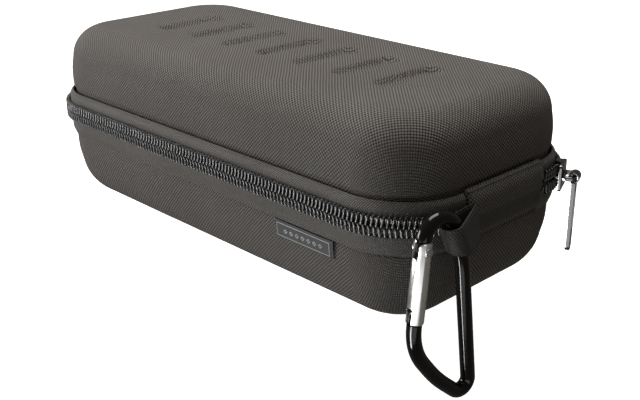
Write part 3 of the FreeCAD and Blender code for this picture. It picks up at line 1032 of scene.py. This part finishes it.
@dataclass
class Moulding:
    """One moulded half: outer cloth, wall and lining."""

    name: str
    node: str
    body: str
    up: int
    sections: list[Spot]
    edge_radius: float
    wall: float = 3.0
    crown: float = 0.5
    side_rows: int = 10
    edge_rows: int = 14
    top_rows: int = 34
    steps: tuple[float, int] = (1.5, 36)
    lining_rows: int = 8
    lining_steps: tuple[float, int] = (6.0, 14)
    recesses: bool = False
    recess_pitch: float = 23.0
    recess_count: int = 7
    recess_half: Spot = (4.5, 13.5)
    recess_edge: float = 1.2
    recess_depth: float = 2.1

    def profile(self, grown: float) -> list[Spot]:
        """Side and rounded edge of the half, as insets and heights.

        Args:
            grown: how far inside the outer face.

        Returns:
            Points from the rim to where the flat begins.
        """
        end = self.sections[-1][0] - self.up * grown
        radius = self.edge_radius - grown
        (h0, i0), (h1, i1) = self.sections[-2:]
        slope = (i1 - i0) / (h1 - h0)
        lean = math.atan(abs(slope))
        inset = i1 + grown + slope * (end - h1)
        centre = (inset + radius * math.tan((math.pi / 2 - lean) / 2), end - self.up * radius)
        sweep = [lean + (math.pi / 2 - lean) * k / self.edge_rows for k in range(self.edge_rows + 1)]
        bend = [(centre[0] - radius * math.cos(a), centre[1] + self.up * radius * math.sin(a)) for a in sweep]
        side = [(i + grown, h) for h, i in self.sections[:-1]]
        (start_x, start_z), (stop_x, stop_z) = side[-1], bend[0]
        for k in range(1, self.side_rows):
            share = k / self.side_rows
            bulge = self.crown * math.sin(math.pi * share) if not grown else 0.0
            side.append((start_x + share * (stop_x - start_x) - bulge, start_z + share * (stop_z - start_z)))
        return side + bend

    def recess(self, x: float, y: float) -> float:
        """Depth of the row of recesses at a point of the top, in millimetres.

        Args:
            x: along the case.
            y: across it.

        Returns:
            The depth.
        """
        if not self.recesses:
            return 0.0
        last = self.recess_count // 2
        nearest = max(-last, min(last, round(x / self.recess_pitch)))
        off_x = x - nearest * self.recess_pitch
        off_y = max(0.0, abs(y) - self.recess_half[1])
        edge = math.hypot(off_x, off_y) - self.recess_half[0]
        share = min(1.0, max(0.0, 0.5 - edge / self.recess_edge))
        return self.recess_depth * share * share * (3 - 2 * share)

    def face(self, grown: float, distances: list[float], top_rows: int) -> tuple[Rows, Weave]:
        """Rows of one face, outer or inner, from the rim to the middle of the flat.

        Args:
            grown: how far inside the outer face.
            distances: where round the outline.
            top_rows: rows over the flat.

        Returns:
            The points and their cloth coordinates.
        """
        profile = self.profile(grown)
        inset, height = profile[-1]
        around = [OUTLINE.at(d) for d in distances]
        edge = [(x - inset * nx, y - inset * ny) for x, y, nx, ny in around]
        left = sum(math.dist(a, b) for a, b in zip(profile, profile[1:]))
        rows, weave = [], []
        for index, spot in enumerate(profile):
            left -= math.dist(profile[index - 1], spot) if index else 0.0
            rows.append([OUTLINE.spot(d, *spot) for d in distances])
            weave.append([(x + left * at[2], y + left * at[3]) for (x, y), at in zip(edge, around)])
        reach = OUTLINE.length / 2 - OUTLINE.width / 2
        for k in range(1, top_rows + 1):
            share = k / top_rows
            row, flat = [], []
            for x, y in edge:
                middle = max(-reach, min(reach, x * reach / (OUTLINE.length / 2 - inset)))
                px, py = x + share * (middle - x), y * (1 - share)
                drop = self.recess(px, py) if not grown else 0.0
                row.append(Vector((px, py, PARTING + height - self.up * drop)) * MM)
                flat.append((px, py))
            rows.append(row)
            weave.append(flat)
        return rows, weave

    def leaf(self, grown: float, distances: list[float], top_rows: int) -> bmesh.types.BMesh:
        """One face with its half of the rim, outer or inner.

        Args:
            grown: how far inside the outer face.
            distances: where round the outline.
            top_rows: rows over the flat.

        Returns:
            The mesh.
        """
        rows, weave = self.face(grown, distances, top_rows)
        other_rows, _ = self.face(self.wall - grown, distances, 1)
        lip = [a.lerp(b, 0.5) for a, b in zip(rows[0], other_rows[0])]
        mesh = skin([lip, *rows], [weave[0], *weave], lapped=False)
        bmesh.ops.remove_doubles(mesh, verts=mesh.verts, dist=0.01 * MM)
        return mesh

    def build(self) -> list[bpy.types.Object]:
        """Make the outer cloth and the lining.

        Returns:
            The pieces.
        """
        outer = self.leaf(0.0, OUTLINE.steps(*self.steps), self.top_rows)
        cover = publish(outer, self.name, Coat.SHELL, self.body, self.node, "shell_fabric", 60.0)
        inner = self.leaf(self.wall, OUTLINE.steps(*self.lining_steps), self.lining_rows)
        lining = publish(inner, f"{self.name}_lining", Coat.LINING, self.body, None, "lining_fabric", 60.0)
        return [cover, lining]


# The zip


# One turn of the coil: share of the pitch, inset, and height from the parting line
COIL_TURN = [
    (0.00, 1.75, 3.2),
    (0.05, 1.8, 1.9),
    (0.10, 1.6, 0.85),
    (0.16, 1.12, 0.32),
    (0.22, 0.66, 0.14),
    (0.27, 0.46, 0.32),
    (0.31, 0.5, 0.8),
    (0.36, 0.66, 1.5),
    (0.41, 0.66, 2.3),
    (0.47, 0.5, 3.0),
    (0.55, 0.6, 3.6),
    (0.67, 1.0, 3.85),
    (0.82, 1.5, 3.75),
]


@dataclass
class Coil:
    """One row of the zip's coil, a single filament that bends with its half."""

    name: str
    node: str
    body: str
    up: int
    start: float
    pitch: float = 2.0
    wire: float = 0.46
    parted: float = 13.0
    parting: float = 1.0

    def turn(self, start: float) -> list[Vector]:
        """Centre line of one turn, from its back leg round the head to the next.

        Args:
            start: where along the track the turn begins.

        Returns:
            Points in metres.
        """
        full = OUTLINE.track
        points = []
        for share, inset, height in COIL_TURN:
            distance = full - min(full - 0.3, start + share * self.pitch)
            spread = self.parting * min(1.0, max(0.0, (distance - (full - self.parted)) / 2.0))
            points.append(OUTLINE.spot(distance, inset, self.up * (height + spread)))
        return points

    def build(self) -> list[bpy.types.Object]:
        """Make the filament.

        Returns:
            The piece, in a list.
        """
        path: list[Vector] = []
        start = self.start
        while start + self.pitch < OUTLINE.track:
            path += self.turn(start)
            start += self.pitch
        mesh = strand(path, self.wire * MM)
        return [publish(mesh, self.name, Coat.FILAMENT, self.body, self.node, "coil_plastic", 80.0)]


@dataclass
class Tape:
    """One tape of the zip, from behind its coil to a hem that is turned in."""

    name: str
    node: str
    body: str
    up: int
    bend: float
    end: float
    hem: float
    inset: float = 2.5
    thickness: float = 0.8
    cap_reach: float = 12.0

    def section(self) -> list[Spot]:
        """Closed section as insets and heights.

        Returns:
            The loop.
        """
        t, hem, end = self.inset, self.hem, self.end
        back = t + self.thickness
        outer = [(t, 0.9), (t, 2.6), (t, 4.2), (t - 0.05, 5.0), (t, self.bend - 0.4)]
        for share in (0.15, 0.3, 0.45, 0.6, 0.75, 0.88):
            outer.append((t + (hem - t) * share * share * 0.9, self.bend + (end - self.bend) * share))
        outer += [(hem - 0.35, end - 0.02), (hem - 0.02, end - 0.12), (hem, end - 0.4), (hem, end - 0.8)]
        inner = [(back, self.bend - 0.3), (back, 3.0), (back, 0.9)]
        return [(inset, self.up * height) for inset, height in outer + inner]

    def build(self) -> list[bpy.types.Object]:
        """Make the tape and close its two ends.

        Returns:
            The piece, in a list.
        """
        rows, weave = swept(self.section(), OUTLINE.steps(2.0, 26, OUTLINE.track), OUTLINE.spot)
        mesh = skin(rows, weave, around=False, along=True)
        reach = self.cap_reach * MM
        for edge in (0, -1):
            tips = [row[edge] for row in rows]
            ring = [v for v in mesh.verts if (v.co - tips[0]).length < reach and v.is_boundary]
            ring.sort(key=lambda v: min((v.co - tip).length for tip in tips))
            bmesh.ops.contextual_create(mesh, geom=ring[: len(tips)])
        return [publish(mesh, self.name, Coat.TAPE, self.body, self.node, "tape_fabric", 50.0)]


# The hinge end

# Closed section of the panel from its lower hem to its upper one and back behind, as insets and heights
PANEL_SECTION = [
    (3.85, -10.8), (3.5, -10.78), (2.4, -10.0), (1.3, -8.6), (0.85, -7.0), (0.75, -5.0), (0.72, -3.0),
    (0.72, -1.3), (0.62, -1.0), (0.34, -0.9), (0.3, -0.6), (0.3, 1.4), (0.3, 3.4), (0.4, 5.0), (0.8, 6.6),
    (1.5, 8.0), (2.4, 9.1), (3.3, 9.7), (3.85, 9.8), (3.85, 6.0), (3.85, 0.0), (3.85, -6.0),
]


@dataclass
class Hinge:
    """Cloth panel and lining over the hinge, and the stitches along the panel's upper edge."""

    half: float = 23.5
    steps: int = 30
    tuck: float = 0.9
    tuck_width: float = 1.2
    stitch: float = 1.0
    stitch_count: int = 46
    strip_rows: int = 12
    strip_steps: int = 20
    belly: float = 0.25
    strip_weave: Spot = (47.0, 18.0)

    def place(self, y: float, inset: float, height: float) -> Vector:
        """Point of the panel, whose ends are tucked in.

        Args:
            y: along the panel.
            inset: inwards from the outline.
            height: above the parting line.

        Returns:
            The point in metres.
        """
        edge = max(0.0, abs(y) - self.half + self.tuck_width) / self.tuck_width
        tuck = self.tuck * edge * edge if inset < 3.0 else 0.0
        return Vector((OUTLINE.length / 2 - inset - tuck, y, PARTING + height)) * MM

    def panel(self) -> bpy.types.Object:
        """Make the panel.

        Returns:
            The piece.
        """
        steps = [self.half * (2 * k / self.steps - 1) for k in range(self.steps + 1)]
        mesh = wrapped(*swept(PANEL_SECTION, steps, self.place))
        panel = publish(mesh, "hinge_cover", Coat.PANEL, None, "hinge_panel", "shell_fabric", 55.0)
        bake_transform(panel)
        return panel

    def overlock(self) -> bpy.types.Object:
        """Make the row of stitches.

        Returns:
            The piece.
        """
        mesh = bmesh.new()
        legs = [(2.75, 9.25, -0.35), (2.3, 9.25, -0.15), (2.1, 8.9, 0.1), (2.25, 8.5, 0.35)]
        for k in range(self.stitch_count):
            y = -self.half + 0.9 + k * self.stitch
            path = [Vector((OUTLINE.length / 2 - i, y + dy, PARTING + h)) * MM for i, h, dy in legs]
            strand(path, 0.3 * MM, 5, mesh)
        return publish(mesh, "panel_overlock", Coat.THREAD, "lid", None, "shell_fabric", 80.0)

    def strip(self) -> bpy.types.Object:
        """Make the lining, which bellies out at mid height.

        Returns:
            The piece.
        """
        low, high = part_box("hinge_lining")
        depth, length, height = high.x - low.x, high.y - low.y, high.z - low.z
        along, across = self.strip_weave
        count = self.strip_rows
        around = [(0.0, k / count) for k in range(count + 1)]
        around += [(1.0, 1 - k / count) for k in range(count + 1)]
        steps = range(self.strip_steps + 1)
        rows, weave = [], []
        for share, rise in around:
            x = low.x + depth * (0.25 + 0.5 * share + self.belly * math.sin(math.pi * rise))
            z = low.z + height * rise
            rows.append([Vector((x, low.y + length * k / self.strip_steps, z)) for k in steps])
            weave.append([(along * k / self.strip_steps, across * rise) for k in steps])
        mesh = wrapped(rows, weave)
        strip = publish(mesh, "hinge_strip", Coat.BINDING, None, "hinge_lining", "lining_fabric", 55.0)
        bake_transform(strip)
        return strip

    def build(self) -> list[bpy.types.Object]:
        """Make the panel, its stitches and its lining."""
        return [self.panel(), self.overlock(), self.strip()]


# Closed section of the binding, as insets and distances from the parting line
BINDING_SECTION = [
    (5.2, 0.25), (5.5, 0.2), (7.0, 0.2), (8.3, 0.2), (8.55, 0.3), (8.6, 0.6), (8.6, 2.0), (8.62, 4.0),
    (8.6, 6.4), (8.5, 7.0), (8.3, 7.2), (8.12, 7.0), (8.1, 4.0), (8.1, 0.72), (6.5, 0.7), (5.3, 0.68),
]


@dataclass
class Binding:
    """Cloth binding sewn over the rim of one half, with its row of stitches."""

    name: str
    node: str
    body: str
    up: int
    gap: float = 3.2
    seam: float = 5.6

    def build(self) -> list[bpy.types.Object]:
        """Make the binding and its stitches.

        Returns:
            The pieces.
        """
        loop = [(inset, self.up * height) for inset, height in BINDING_SECTION]
        mesh = skin(*swept(loop, OUTLINE.steps(4.0, 16), OUTLINE.spot), along=True)
        band = publish(mesh, self.name, Coat.BINDING, self.body, self.node, "lining_fabric", 50.0)
        mesh = bmesh.new()
        legs = [(8.45, 0.0), (8.72, 0.35), (8.74, 1.3), (8.72, 2.2), (8.45, 2.5)]
        distance = 1.0
        while distance < OUTLINE.whole - 1:
            path = [OUTLINE.spot(distance + d, inset, self.up * self.seam) for inset, d in legs]
            strand(path, 0.16 * MM, 4, mesh)
            distance += self.gap
        stitches = publish(mesh, f"{self.name}_stitches", Coat.THREAD, self.body, None, "lining_fabric", 80.0)
        return [band, stitches]


# The webbing loop, label and clip


@dataclass(frozen=True)
class ClipPlane:
    """Upright plane in which the clip hangs: u runs along the wall, heights are from the case's underside."""

    x: float = 124.2
    y: float = -35.0
    turn: float = math.radians(10.0)
    gate: tuple[Spot, Spot] = ((-16.9, 46.5), (-19.6, 14.5))
    head: Spot = (-15.95, 57.8)
    neck: Spot = (-3.2, 49.6)
    spine: Spot = (1.5, 34.0)

    def plan(self, u: float) -> Spot:
        """Place in plan of a distance along the wall."""
        return self.x + u * math.sin(self.turn), self.y + u * math.cos(self.turn)

    def spot(self, u: float, height: float, out: float = 0.0) -> Vector:
        """Point in metres, out from the plane by a distance in millimetres."""
        x, y = self.plan(u)
        return Vector((x + out * math.cos(self.turn), y - out * math.sin(self.turn), height)) * MM


CLIP_PLANE = ClipPlane()


@dataclass
class Rod:
    """The clip's bent rod with a flat tongue at each end for the gate."""

    radius: float = 2.8
    foot: tuple[Spot, ...] = ((9.2, -27.3), (-8.3, -11.9), (-20.47, 4.2))
    radii: tuple[float, ...] = (7.0, 7.0, 60.0, 4.2, 60.0, 24.0)
    facets: int = 40
    tongue: Place = (4.4, 2.2, 3.8)
    tongue_facets: int = 14
    root: float = 1.0

    def add_tongue(self, mesh: bmesh.types.BMesh, end: Spot, towards: Spot) -> None:
        """Add a flat tongue with a round end.

        Args:
            mesh: the mesh to add to.
            end: where the rod ends.
            towards: the gate's other end.
        """
        along = (Vector(towards) - Vector(end)).normalized()
        across = Vector((along.y, -along.x))
        width, thickness, drop = self.tongue
        half = width / 2
        turns = [math.pi * k / self.tongue_facets for k in range(1, self.tongue_facets)]
        edge = [(half, -self.root), (half, drop)]
        edge += [(half * math.cos(t), drop + half * math.sin(t)) for t in turns]
        edge += [(-half, drop), (-half, -self.root)]
        sides = []
        for out in (-thickness / 2, thickness / 2):
            spots = [Vector(end) + across * a + along * b for a, b in edge]
            sides.append([mesh.verts.new(CLIP_PLANE.spot(spot.x, spot.y, out)) for spot in spots])
        mesh.faces.new(sides[0])
        mesh.faces.new(sides[1][::-1])
        for k in range(len(edge)):
            after = (k + 1) % len(edge)
            mesh.faces.new([sides[0][after], sides[0][k], sides[1][k], sides[1][after]])

    def build(self) -> list[bpy.types.Object]:
        """Make the rod.

        Returns:
            The piece, in a list.
        """
        top, bottom = CLIP_PLANE.gate
        stops = [top, CLIP_PLANE.head, CLIP_PLANE.neck, CLIP_PLANE.spine, *self.foot, bottom]
        path = [CLIP_PLANE.spot(*spot) for spot in rounded(stops, self.radii)]
        mesh = strand(path, self.radius * MM, self.facets)
        ends = [edge for face in mesh.faces if len(face.verts) > 4 for edge in face.edges]
        bmesh.ops.bevel(mesh, geom=ends, offset=0.2 * MM, segments=3, profile=0.5, affect="EDGES")
        self.add_tongue(mesh, top, bottom)
        self.add_tongue(mesh, bottom, top)
        return [publish(mesh, "clip_rod", Coat.LACQUER, "clip", "carabiner_body", "black_aluminium", 38.0)]


@dataclass
class Loop:
    """Folded webbing tab round the clip's rod."""

    low: float = 37.6
    width: float = 14.3
    slope: float = 0.15
    neck: float = -24.2
    strand_x: float = 121.1
    inner: float = 3.6
    slack: Spot = (0.6, 2.4)
    thickness: float = 1.2
    bow_steps: int = 22
    arm_steps: int = 6
    levels: int = 12
    edge_share: float = 0.55
    rib: float = 1.05
    rib_height: float = 0.07
    rib_base: float = 0.09

    def centre(self, height: float) -> Spot:
        """Axis of the loop at a height, a little outside the rod's own.

        Args:
            height: from the case's underside.

        Returns:
            The axis in plan.
        """
        (neck_u, neck_z), (spine_u, spine_z) = CLIP_PLANE.neck, CLIP_PLANE.spine
        x, y = CLIP_PLANE.plan(spine_u + (neck_u - spine_u) / (neck_z - spine_z) * (height - spine_z))
        share = (height - self.low) / self.width
        return x, y - self.slack[0] - share * (self.slack[1] - self.slack[0])

    def path(self, height: float) -> list[tuple[Spot, Spot]]:
        """Middle line of the strip in plan and its outward normals, at a height.

        Args:
            height: from the case's underside.

        Returns:
            Each point with its normal.
        """
        radius = self.inner + self.thickness / 2
        cx, cy = self.centre(height)
        first_x, first_y = self.centre(self.low)
        last_y = self.centre(self.low + self.width)[1]
        start_y = self.neck + (first_y - last_y) + (cy - first_y)
        near = (self.strand_x + self.thickness / 2 + cx - first_x, start_y)
        far = (near[0] + self.thickness + 0.2, start_y)

        def touch(spot: Spot, side: int) -> float:
            """Angle where the line from a spot touches the bow."""
            reach = (spot[0] - cx, spot[1] - cy)
            return math.atan2(reach[1], reach[0]) + side * math.acos(radius / math.hypot(*reach))

        def arm(spot: Spot, end: Spot, out: Spot) -> list[tuple[Spot, Spot]]:
            """Straight stretch from the seam's end to the bow.

            Args:
                spot: where the line to the bow begins.
                end: the bow's end.
                out: the normal there.

            Returns:
                Each point with its normal.
            """
            share = (spot[1] - self.neck) / (spot[1] - end[1])
            x, y = spot[0] + share * (end[0] - spot[0]), self.neck
            shares = [k / self.arm_steps for k in range(self.arm_steps)]
            return [((x + s * (end[0] - x), y + s * (end[1] - y)), out) for s in shares]

        first, last = touch(near, 1), touch(far, -1) + 2 * math.pi
        bow = []
        for k in range(self.bow_steps + 1):
            angle = first + (last - first) * k / self.bow_steps
            out = (math.cos(angle), math.sin(angle))
            bow.append(((cx + radius * out[0], cy + radius * out[1]), out))
        return arm(near, *bow[0]) + bow + arm(far, *bow[-1])[::-1]

    def row(self, offset: float, share: float) -> tuple[list[Vector], list[Spot]]:
        """Points along the strip at one place of its section.

        Args:
            offset: out from the middle line.
            share: 0 at the lower edge, 1 at the upper.

        Returns:
            The points and their cloth coordinates.
        """
        row, cloth = [], []
        travelled, before = 0.0, None
        for index, (rough, _) in enumerate(self.path(self.low + share * self.width)):
            fall = self.slope * max(0.0, self.neck - rough[1])
            height = self.low + share * (self.width - fall)
            (x, y), (out_x, out_y) = self.path(height)[index]
            travelled += math.dist(before, (x, y)) if before else 0.0
            before = (x, y)
            rib = self.rib_height * abs(math.sin(math.pi * travelled / self.rib))
            reach = offset - math.copysign(self.rib_base - rib, offset)
            row.append(Vector((x + out_x * reach, y + out_y * reach, height)) * MM)
            cloth.append((travelled, share * self.width))
        return row, cloth

    def build(self) -> list[bpy.types.Object]:
        """Make the strip.

        Returns:
            The piece, in a list.
        """
        half = self.thickness / 2
        section = []
        for k in range(self.levels + 1):
            section.append((half * (1.0 if 0 < k < self.levels else self.edge_share), k / self.levels))
        section += [(-offset, share) for offset, share in reversed(section)]
        rows, weave = zip(*(self.row(offset, share) for offset, share in section))
        mesh = wrapped(rows, weave)
        tab = publish(mesh, "webbing_tab", Coat.WEBBING, None, "webbing_loop", "webbing_fabric", 55.0)
        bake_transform(tab)
        return [tab]


@dataclass
class Label:
    """Bare folded cloth tab under the lower tape."""

    start: float = 48.0
    length: float = 32.0
    height: float = 7.6
    thickness: float = 1.3
    fold: float = 0.65
    lean: float = math.atan2(BASE_SIDE[-1][1] - HEM_INSET, PARTING - HEM_DROP)
    wall_y: float = HEM_INSET - OUTLINE.width / 2 - 0.15
    top: float = PARTING - HEM_DROP - 0.3
    steps: int = 40
    stitch_inset: float = 1.0
    stitch_count: int = 4

    def place(self, x: float, out: float, down: float) -> Vector:
        """Point at a distance along the wall, out from it and down from the tab's top.

        Args:
            x: along the wall.
            out: out from it.
            down: down from the tab's top.

        Returns:
            The point in metres.
        """
        y = -out * math.cos(self.lean) + down * math.sin(self.lean)
        z = -out * math.sin(self.lean) - down * math.cos(self.lean)
        return Vector((x, self.wall_y + y, self.top + z)) * MM

    def pinched(self, along: float, out: float, down: float) -> Vector:
        """Point of the tab, which its end stitches draw in.

        Args:
            along: from the tab's near end.
            out: out from the wall.
            down: down from the tab's top.

        Returns:
            The point in metres.
        """
        edge = min(along, self.length - along)
        pinch = 0.18 * math.exp(-((edge - self.stitch_inset) ** 2) / 0.25)
        squeeze = min(1.0, 0.6 + edge / 0.3)
        return self.place(self.start + along, max(0.02, (out - pinch) * squeeze), down)

    def section(self) -> list[Spot]:
        """Front, rounded fold and back, as distances out and down.

        Returns:
            The loop.
        """
        drops = (0.0, 0.7, 1.6, 2.6, 4.2, 5.6, 6.5)
        front = [(self.thickness * (0.55 + 0.4 * min(1.0, drop / 2.2)), drop) for drop in drops]
        low = self.height - self.fold
        turns = (0.25, 0.6, 1.0, 1.57, 2.1, 2.6)
        fold = [(0.65 + 0.62 * math.cos(turn), low + self.fold * math.sin(turn)) for turn in turns]
        return front + fold + [(0.02, 6.4), (0.02, 3.0), (0.02, 0.0)]

    def build(self) -> list[bpy.types.Object]:
        """Make the tab and the stitches at its two ends.

        Returns:
            The pieces.
        """
        steps = [self.length * k / self.steps for k in range(self.steps + 1)]
        mesh = wrapped(*swept(self.section(), steps, self.pinched))
        tab = publish(mesh, "bare_label", Coat.LABEL, "case", "side_label", "label_fabric", 55.0)
        mesh = bmesh.new()
        legs = [(0.95, 0.0), (1.22, 0.2), (1.26, 0.7), (1.22, 1.15), (0.95, 1.35)]
        for x in (self.start + self.stitch_inset, self.start + self.length - self.stitch_inset):
            for k in range(self.stitch_count):
                down = 0.7 + 1.75 * k
                strand([self.place(x, out, down + d) for out, d in legs], 0.13 * MM, 4, mesh)
        threads = publish(mesh, "label_stitches", Coat.THREAD, "case", None, "label_fabric", 80.0)
        return [tab, threads]


@dataclass
class Fittings:
    """The slider, pull and gate: CAD solids with broken edges and metal finishes."""

    pieces: tuple[tuple[str, str, Coat, str, str, float], ...] = (
        ("slider_body", "slider", Coat.NICKEL, "slider", "dark_nickel", 0.28),
        ("slider_bail", "bail", Coat.NICKEL, "slider", "dark_nickel", 0.5),
        ("pull_tab", "pull", Coat.NICKEL, "pull", "dark_nickel", 0.4),
        ("carabiner_gate", "clip_carabiner_gate", Coat.BRIGHT, "gate", "bare_aluminium", 0.2),
        ("gate_rivet", "clip_gate_rivet", Coat.STEEL, "gate", "steel", 0.2),
        ("gate_plunger", "clip_gate_plunger", Coat.STEEL, "gate", "steel", 0.1),
        ("gate_spring", "clip_gate_spring", Coat.STEEL, "gate", "steel", 0.02),
    )

    def build(self) -> list[bpy.types.Object]:
        """Make every metal piece.

        Returns:
            The pieces.
        """
        return [
            refined(node, coat, body, slot, bevel * MM, name)
            for node, name, coat, body, slot, bevel in self.pieces
        ]


# The studio


@dataclass
class Lamp:
    """Oblong light that looks at a point of the case."""

    name: str
    place: Place
    size: Spot
    power: float
    target: Place = (0.0, 0.0, 0.04)
    diffuse: bool = True

    def build(self) -> None:
        """Add the light."""
        data = bpy.data.lights.new(self.name, "AREA")
        data.shape = "RECTANGLE"
        data.size, data.size_y = self.size
        data.energy = self.power
        lamp = bpy.data.objects.new(self.name, data)
        bpy.context.scene.collection.objects.link(lamp)
        lamp.location = self.place
        lamp.rotation_euler = (Vector(self.target) - Vector(self.place)).to_track_quat("-Z", "Y").to_euler()
        lamp.visible_diffuse = self.diffuse


CLIP_SPOT = (0.124, -0.035, 0.01)
LAMPS = [
    Lamp("front_left", (-0.82, -0.64, 0.1), (0.5, 0.4), 7.8),
    Lamp("overhead", (-0.1, 0.05, 0.75), (0.5, 0.5), 5.2),
    Lamp("low_card", (0.35, -0.55, -0.25), (1.4, 0.35), 2.0, CLIP_SPOT, False),
    Lamp("low_strip", (0.093, -0.427, -0.206), (0.1, 0.3), 2.6, CLIP_SPOT, False),
]


@dataclass
class Studio:
    """Floor, walls, plinth, lights and camera."""

    eye: Place = (0.31833, -0.29604, 0.18860)
    right: Place = (0.702827, 0.711360, -0.000540)
    up: Place = (-0.268794, 0.266273, 0.925661)
    back: Place = (0.658622, -0.650435, 0.378354)
    lens: float = 56.44
    sensor: float = 36.0
    near: float = 0.01
    floor: float = -25.2 * MM
    reach: float = 6.0
    plinth: Spot = (0.15, 0.03)
    plinth_gaps: Spot = (0.2 * MM, 0.1 * MM)
    fill: float = 0.12
    fill_colour: Colour = (1.0, 0.92, 0.82, 1.0)

    def add_stage(self) -> None:
        """Make the floor with its walls, and the plinth under the case."""
        mesh = bmesh.new()
        reach = self.reach
        corners = [(-reach, -reach), (reach, -reach), (reach, reach), (-reach, reach)]
        low, high = ([mesh.verts.new((x, y, z)) for x, y in corners] for z in (self.floor, reach))
        mesh.faces.new(low)
        for k in range(4):
            mesh.faces.new([low[k], low[(k + 1) % 4], high[(k + 1) % 4], high[k]])
        mesh.loops.layers.uv.new("cloth")
        floor = publish(mesh, "floor", Coat.FLOOR, None)
        mesh = bmesh.new()
        bmesh.ops.create_cube(mesh, size=1.0)
        foot, top = self.floor + self.plinth_gaps[0], -self.plinth_gaps[1]
        for vertex in mesh.verts:
            x, y, z = vertex.co
            vertex.co = Vector((x * self.plinth[0], y * self.plinth[1], foot if z < 0 else top))
        mesh.loops.layers.uv.new("cloth")
        plinth = publish(mesh, "plinth", Coat.FLOOR, None)
        for thing in (floor, plinth):
            thing.visible_diffuse = thing.visible_glossy = thing.visible_shadow = False

    def add_camera(self) -> None:
        """Set up the camera at the photograph's angle."""
        data = bpy.data.cameras.new("camera")
        data.lens = self.lens
        data.sensor_width = self.sensor
        data.clip_start = self.near
        camera = bpy.data.objects.new("camera", data)
        bpy.context.scene.collection.objects.link(camera)
        turned = Matrix((self.right, self.up, self.back)).transposed().to_4x4()
        camera.matrix_world = Matrix.Translation(self.eye) @ turned
        bpy.context.scene.camera = camera
        bpy.context.scene.view_settings.view_transform = "Standard"

    def add_light(self) -> None:
        """Add the lamps and the even light of the room."""
        for lamp in LAMPS:
            lamp.build()
        world = bpy.data.worlds.new("studio")
        world.use_nodes = True
        background = world.node_tree.nodes["Background"]
        background.inputs[0].default_value = self.fill_colour
        background.inputs[1].default_value = self.fill
        bpy.context.scene.world = world

    def build(self) -> None:
        """Set up the stage, the camera and the light."""
        self.add_stage()
        self.add_camera()
        self.add_light()


def main() -> None:
    """Build every piece of the case, then the studio."""
    logging.basicConfig(level=logging.INFO, format="%(name)s %(message)s")
    groups = [
        Moulding("base_cover", "base_shell", "case", -1, BASE_SIDE, 21.5, top_rows=10),
        Moulding("lid_cover", "lid_shell", "lid", 1, LID_SIDE, 14.6, recesses=True),
        Tape("upper_tape", "upper_zip_tape", "lid", 1, 6.3, 8.8, 4.25),
        Tape("lower_tape", "lower_zip_tape", "case", -1, 8.4, HEM_DROP, 3.85),
        Coil("upper_coil", "upper_zip_coil", "lid", 1, 0.4),
        Coil("lower_coil", "lower_zip_coil", "case", -1, 1.4),
        Hinge(),
        Binding("base_edging", "base_binding", "case", -1),
        Binding("lid_edging", "lid_binding", "lid", 1),
        Loop(),
        Label(),
        Rod(),
        Fittings(),
    ]
    for group in groups:
        for piece in group.build():
            log.info("built %s", piece.name)
    Studio().build()


if __name__ == "__main__":
    main()
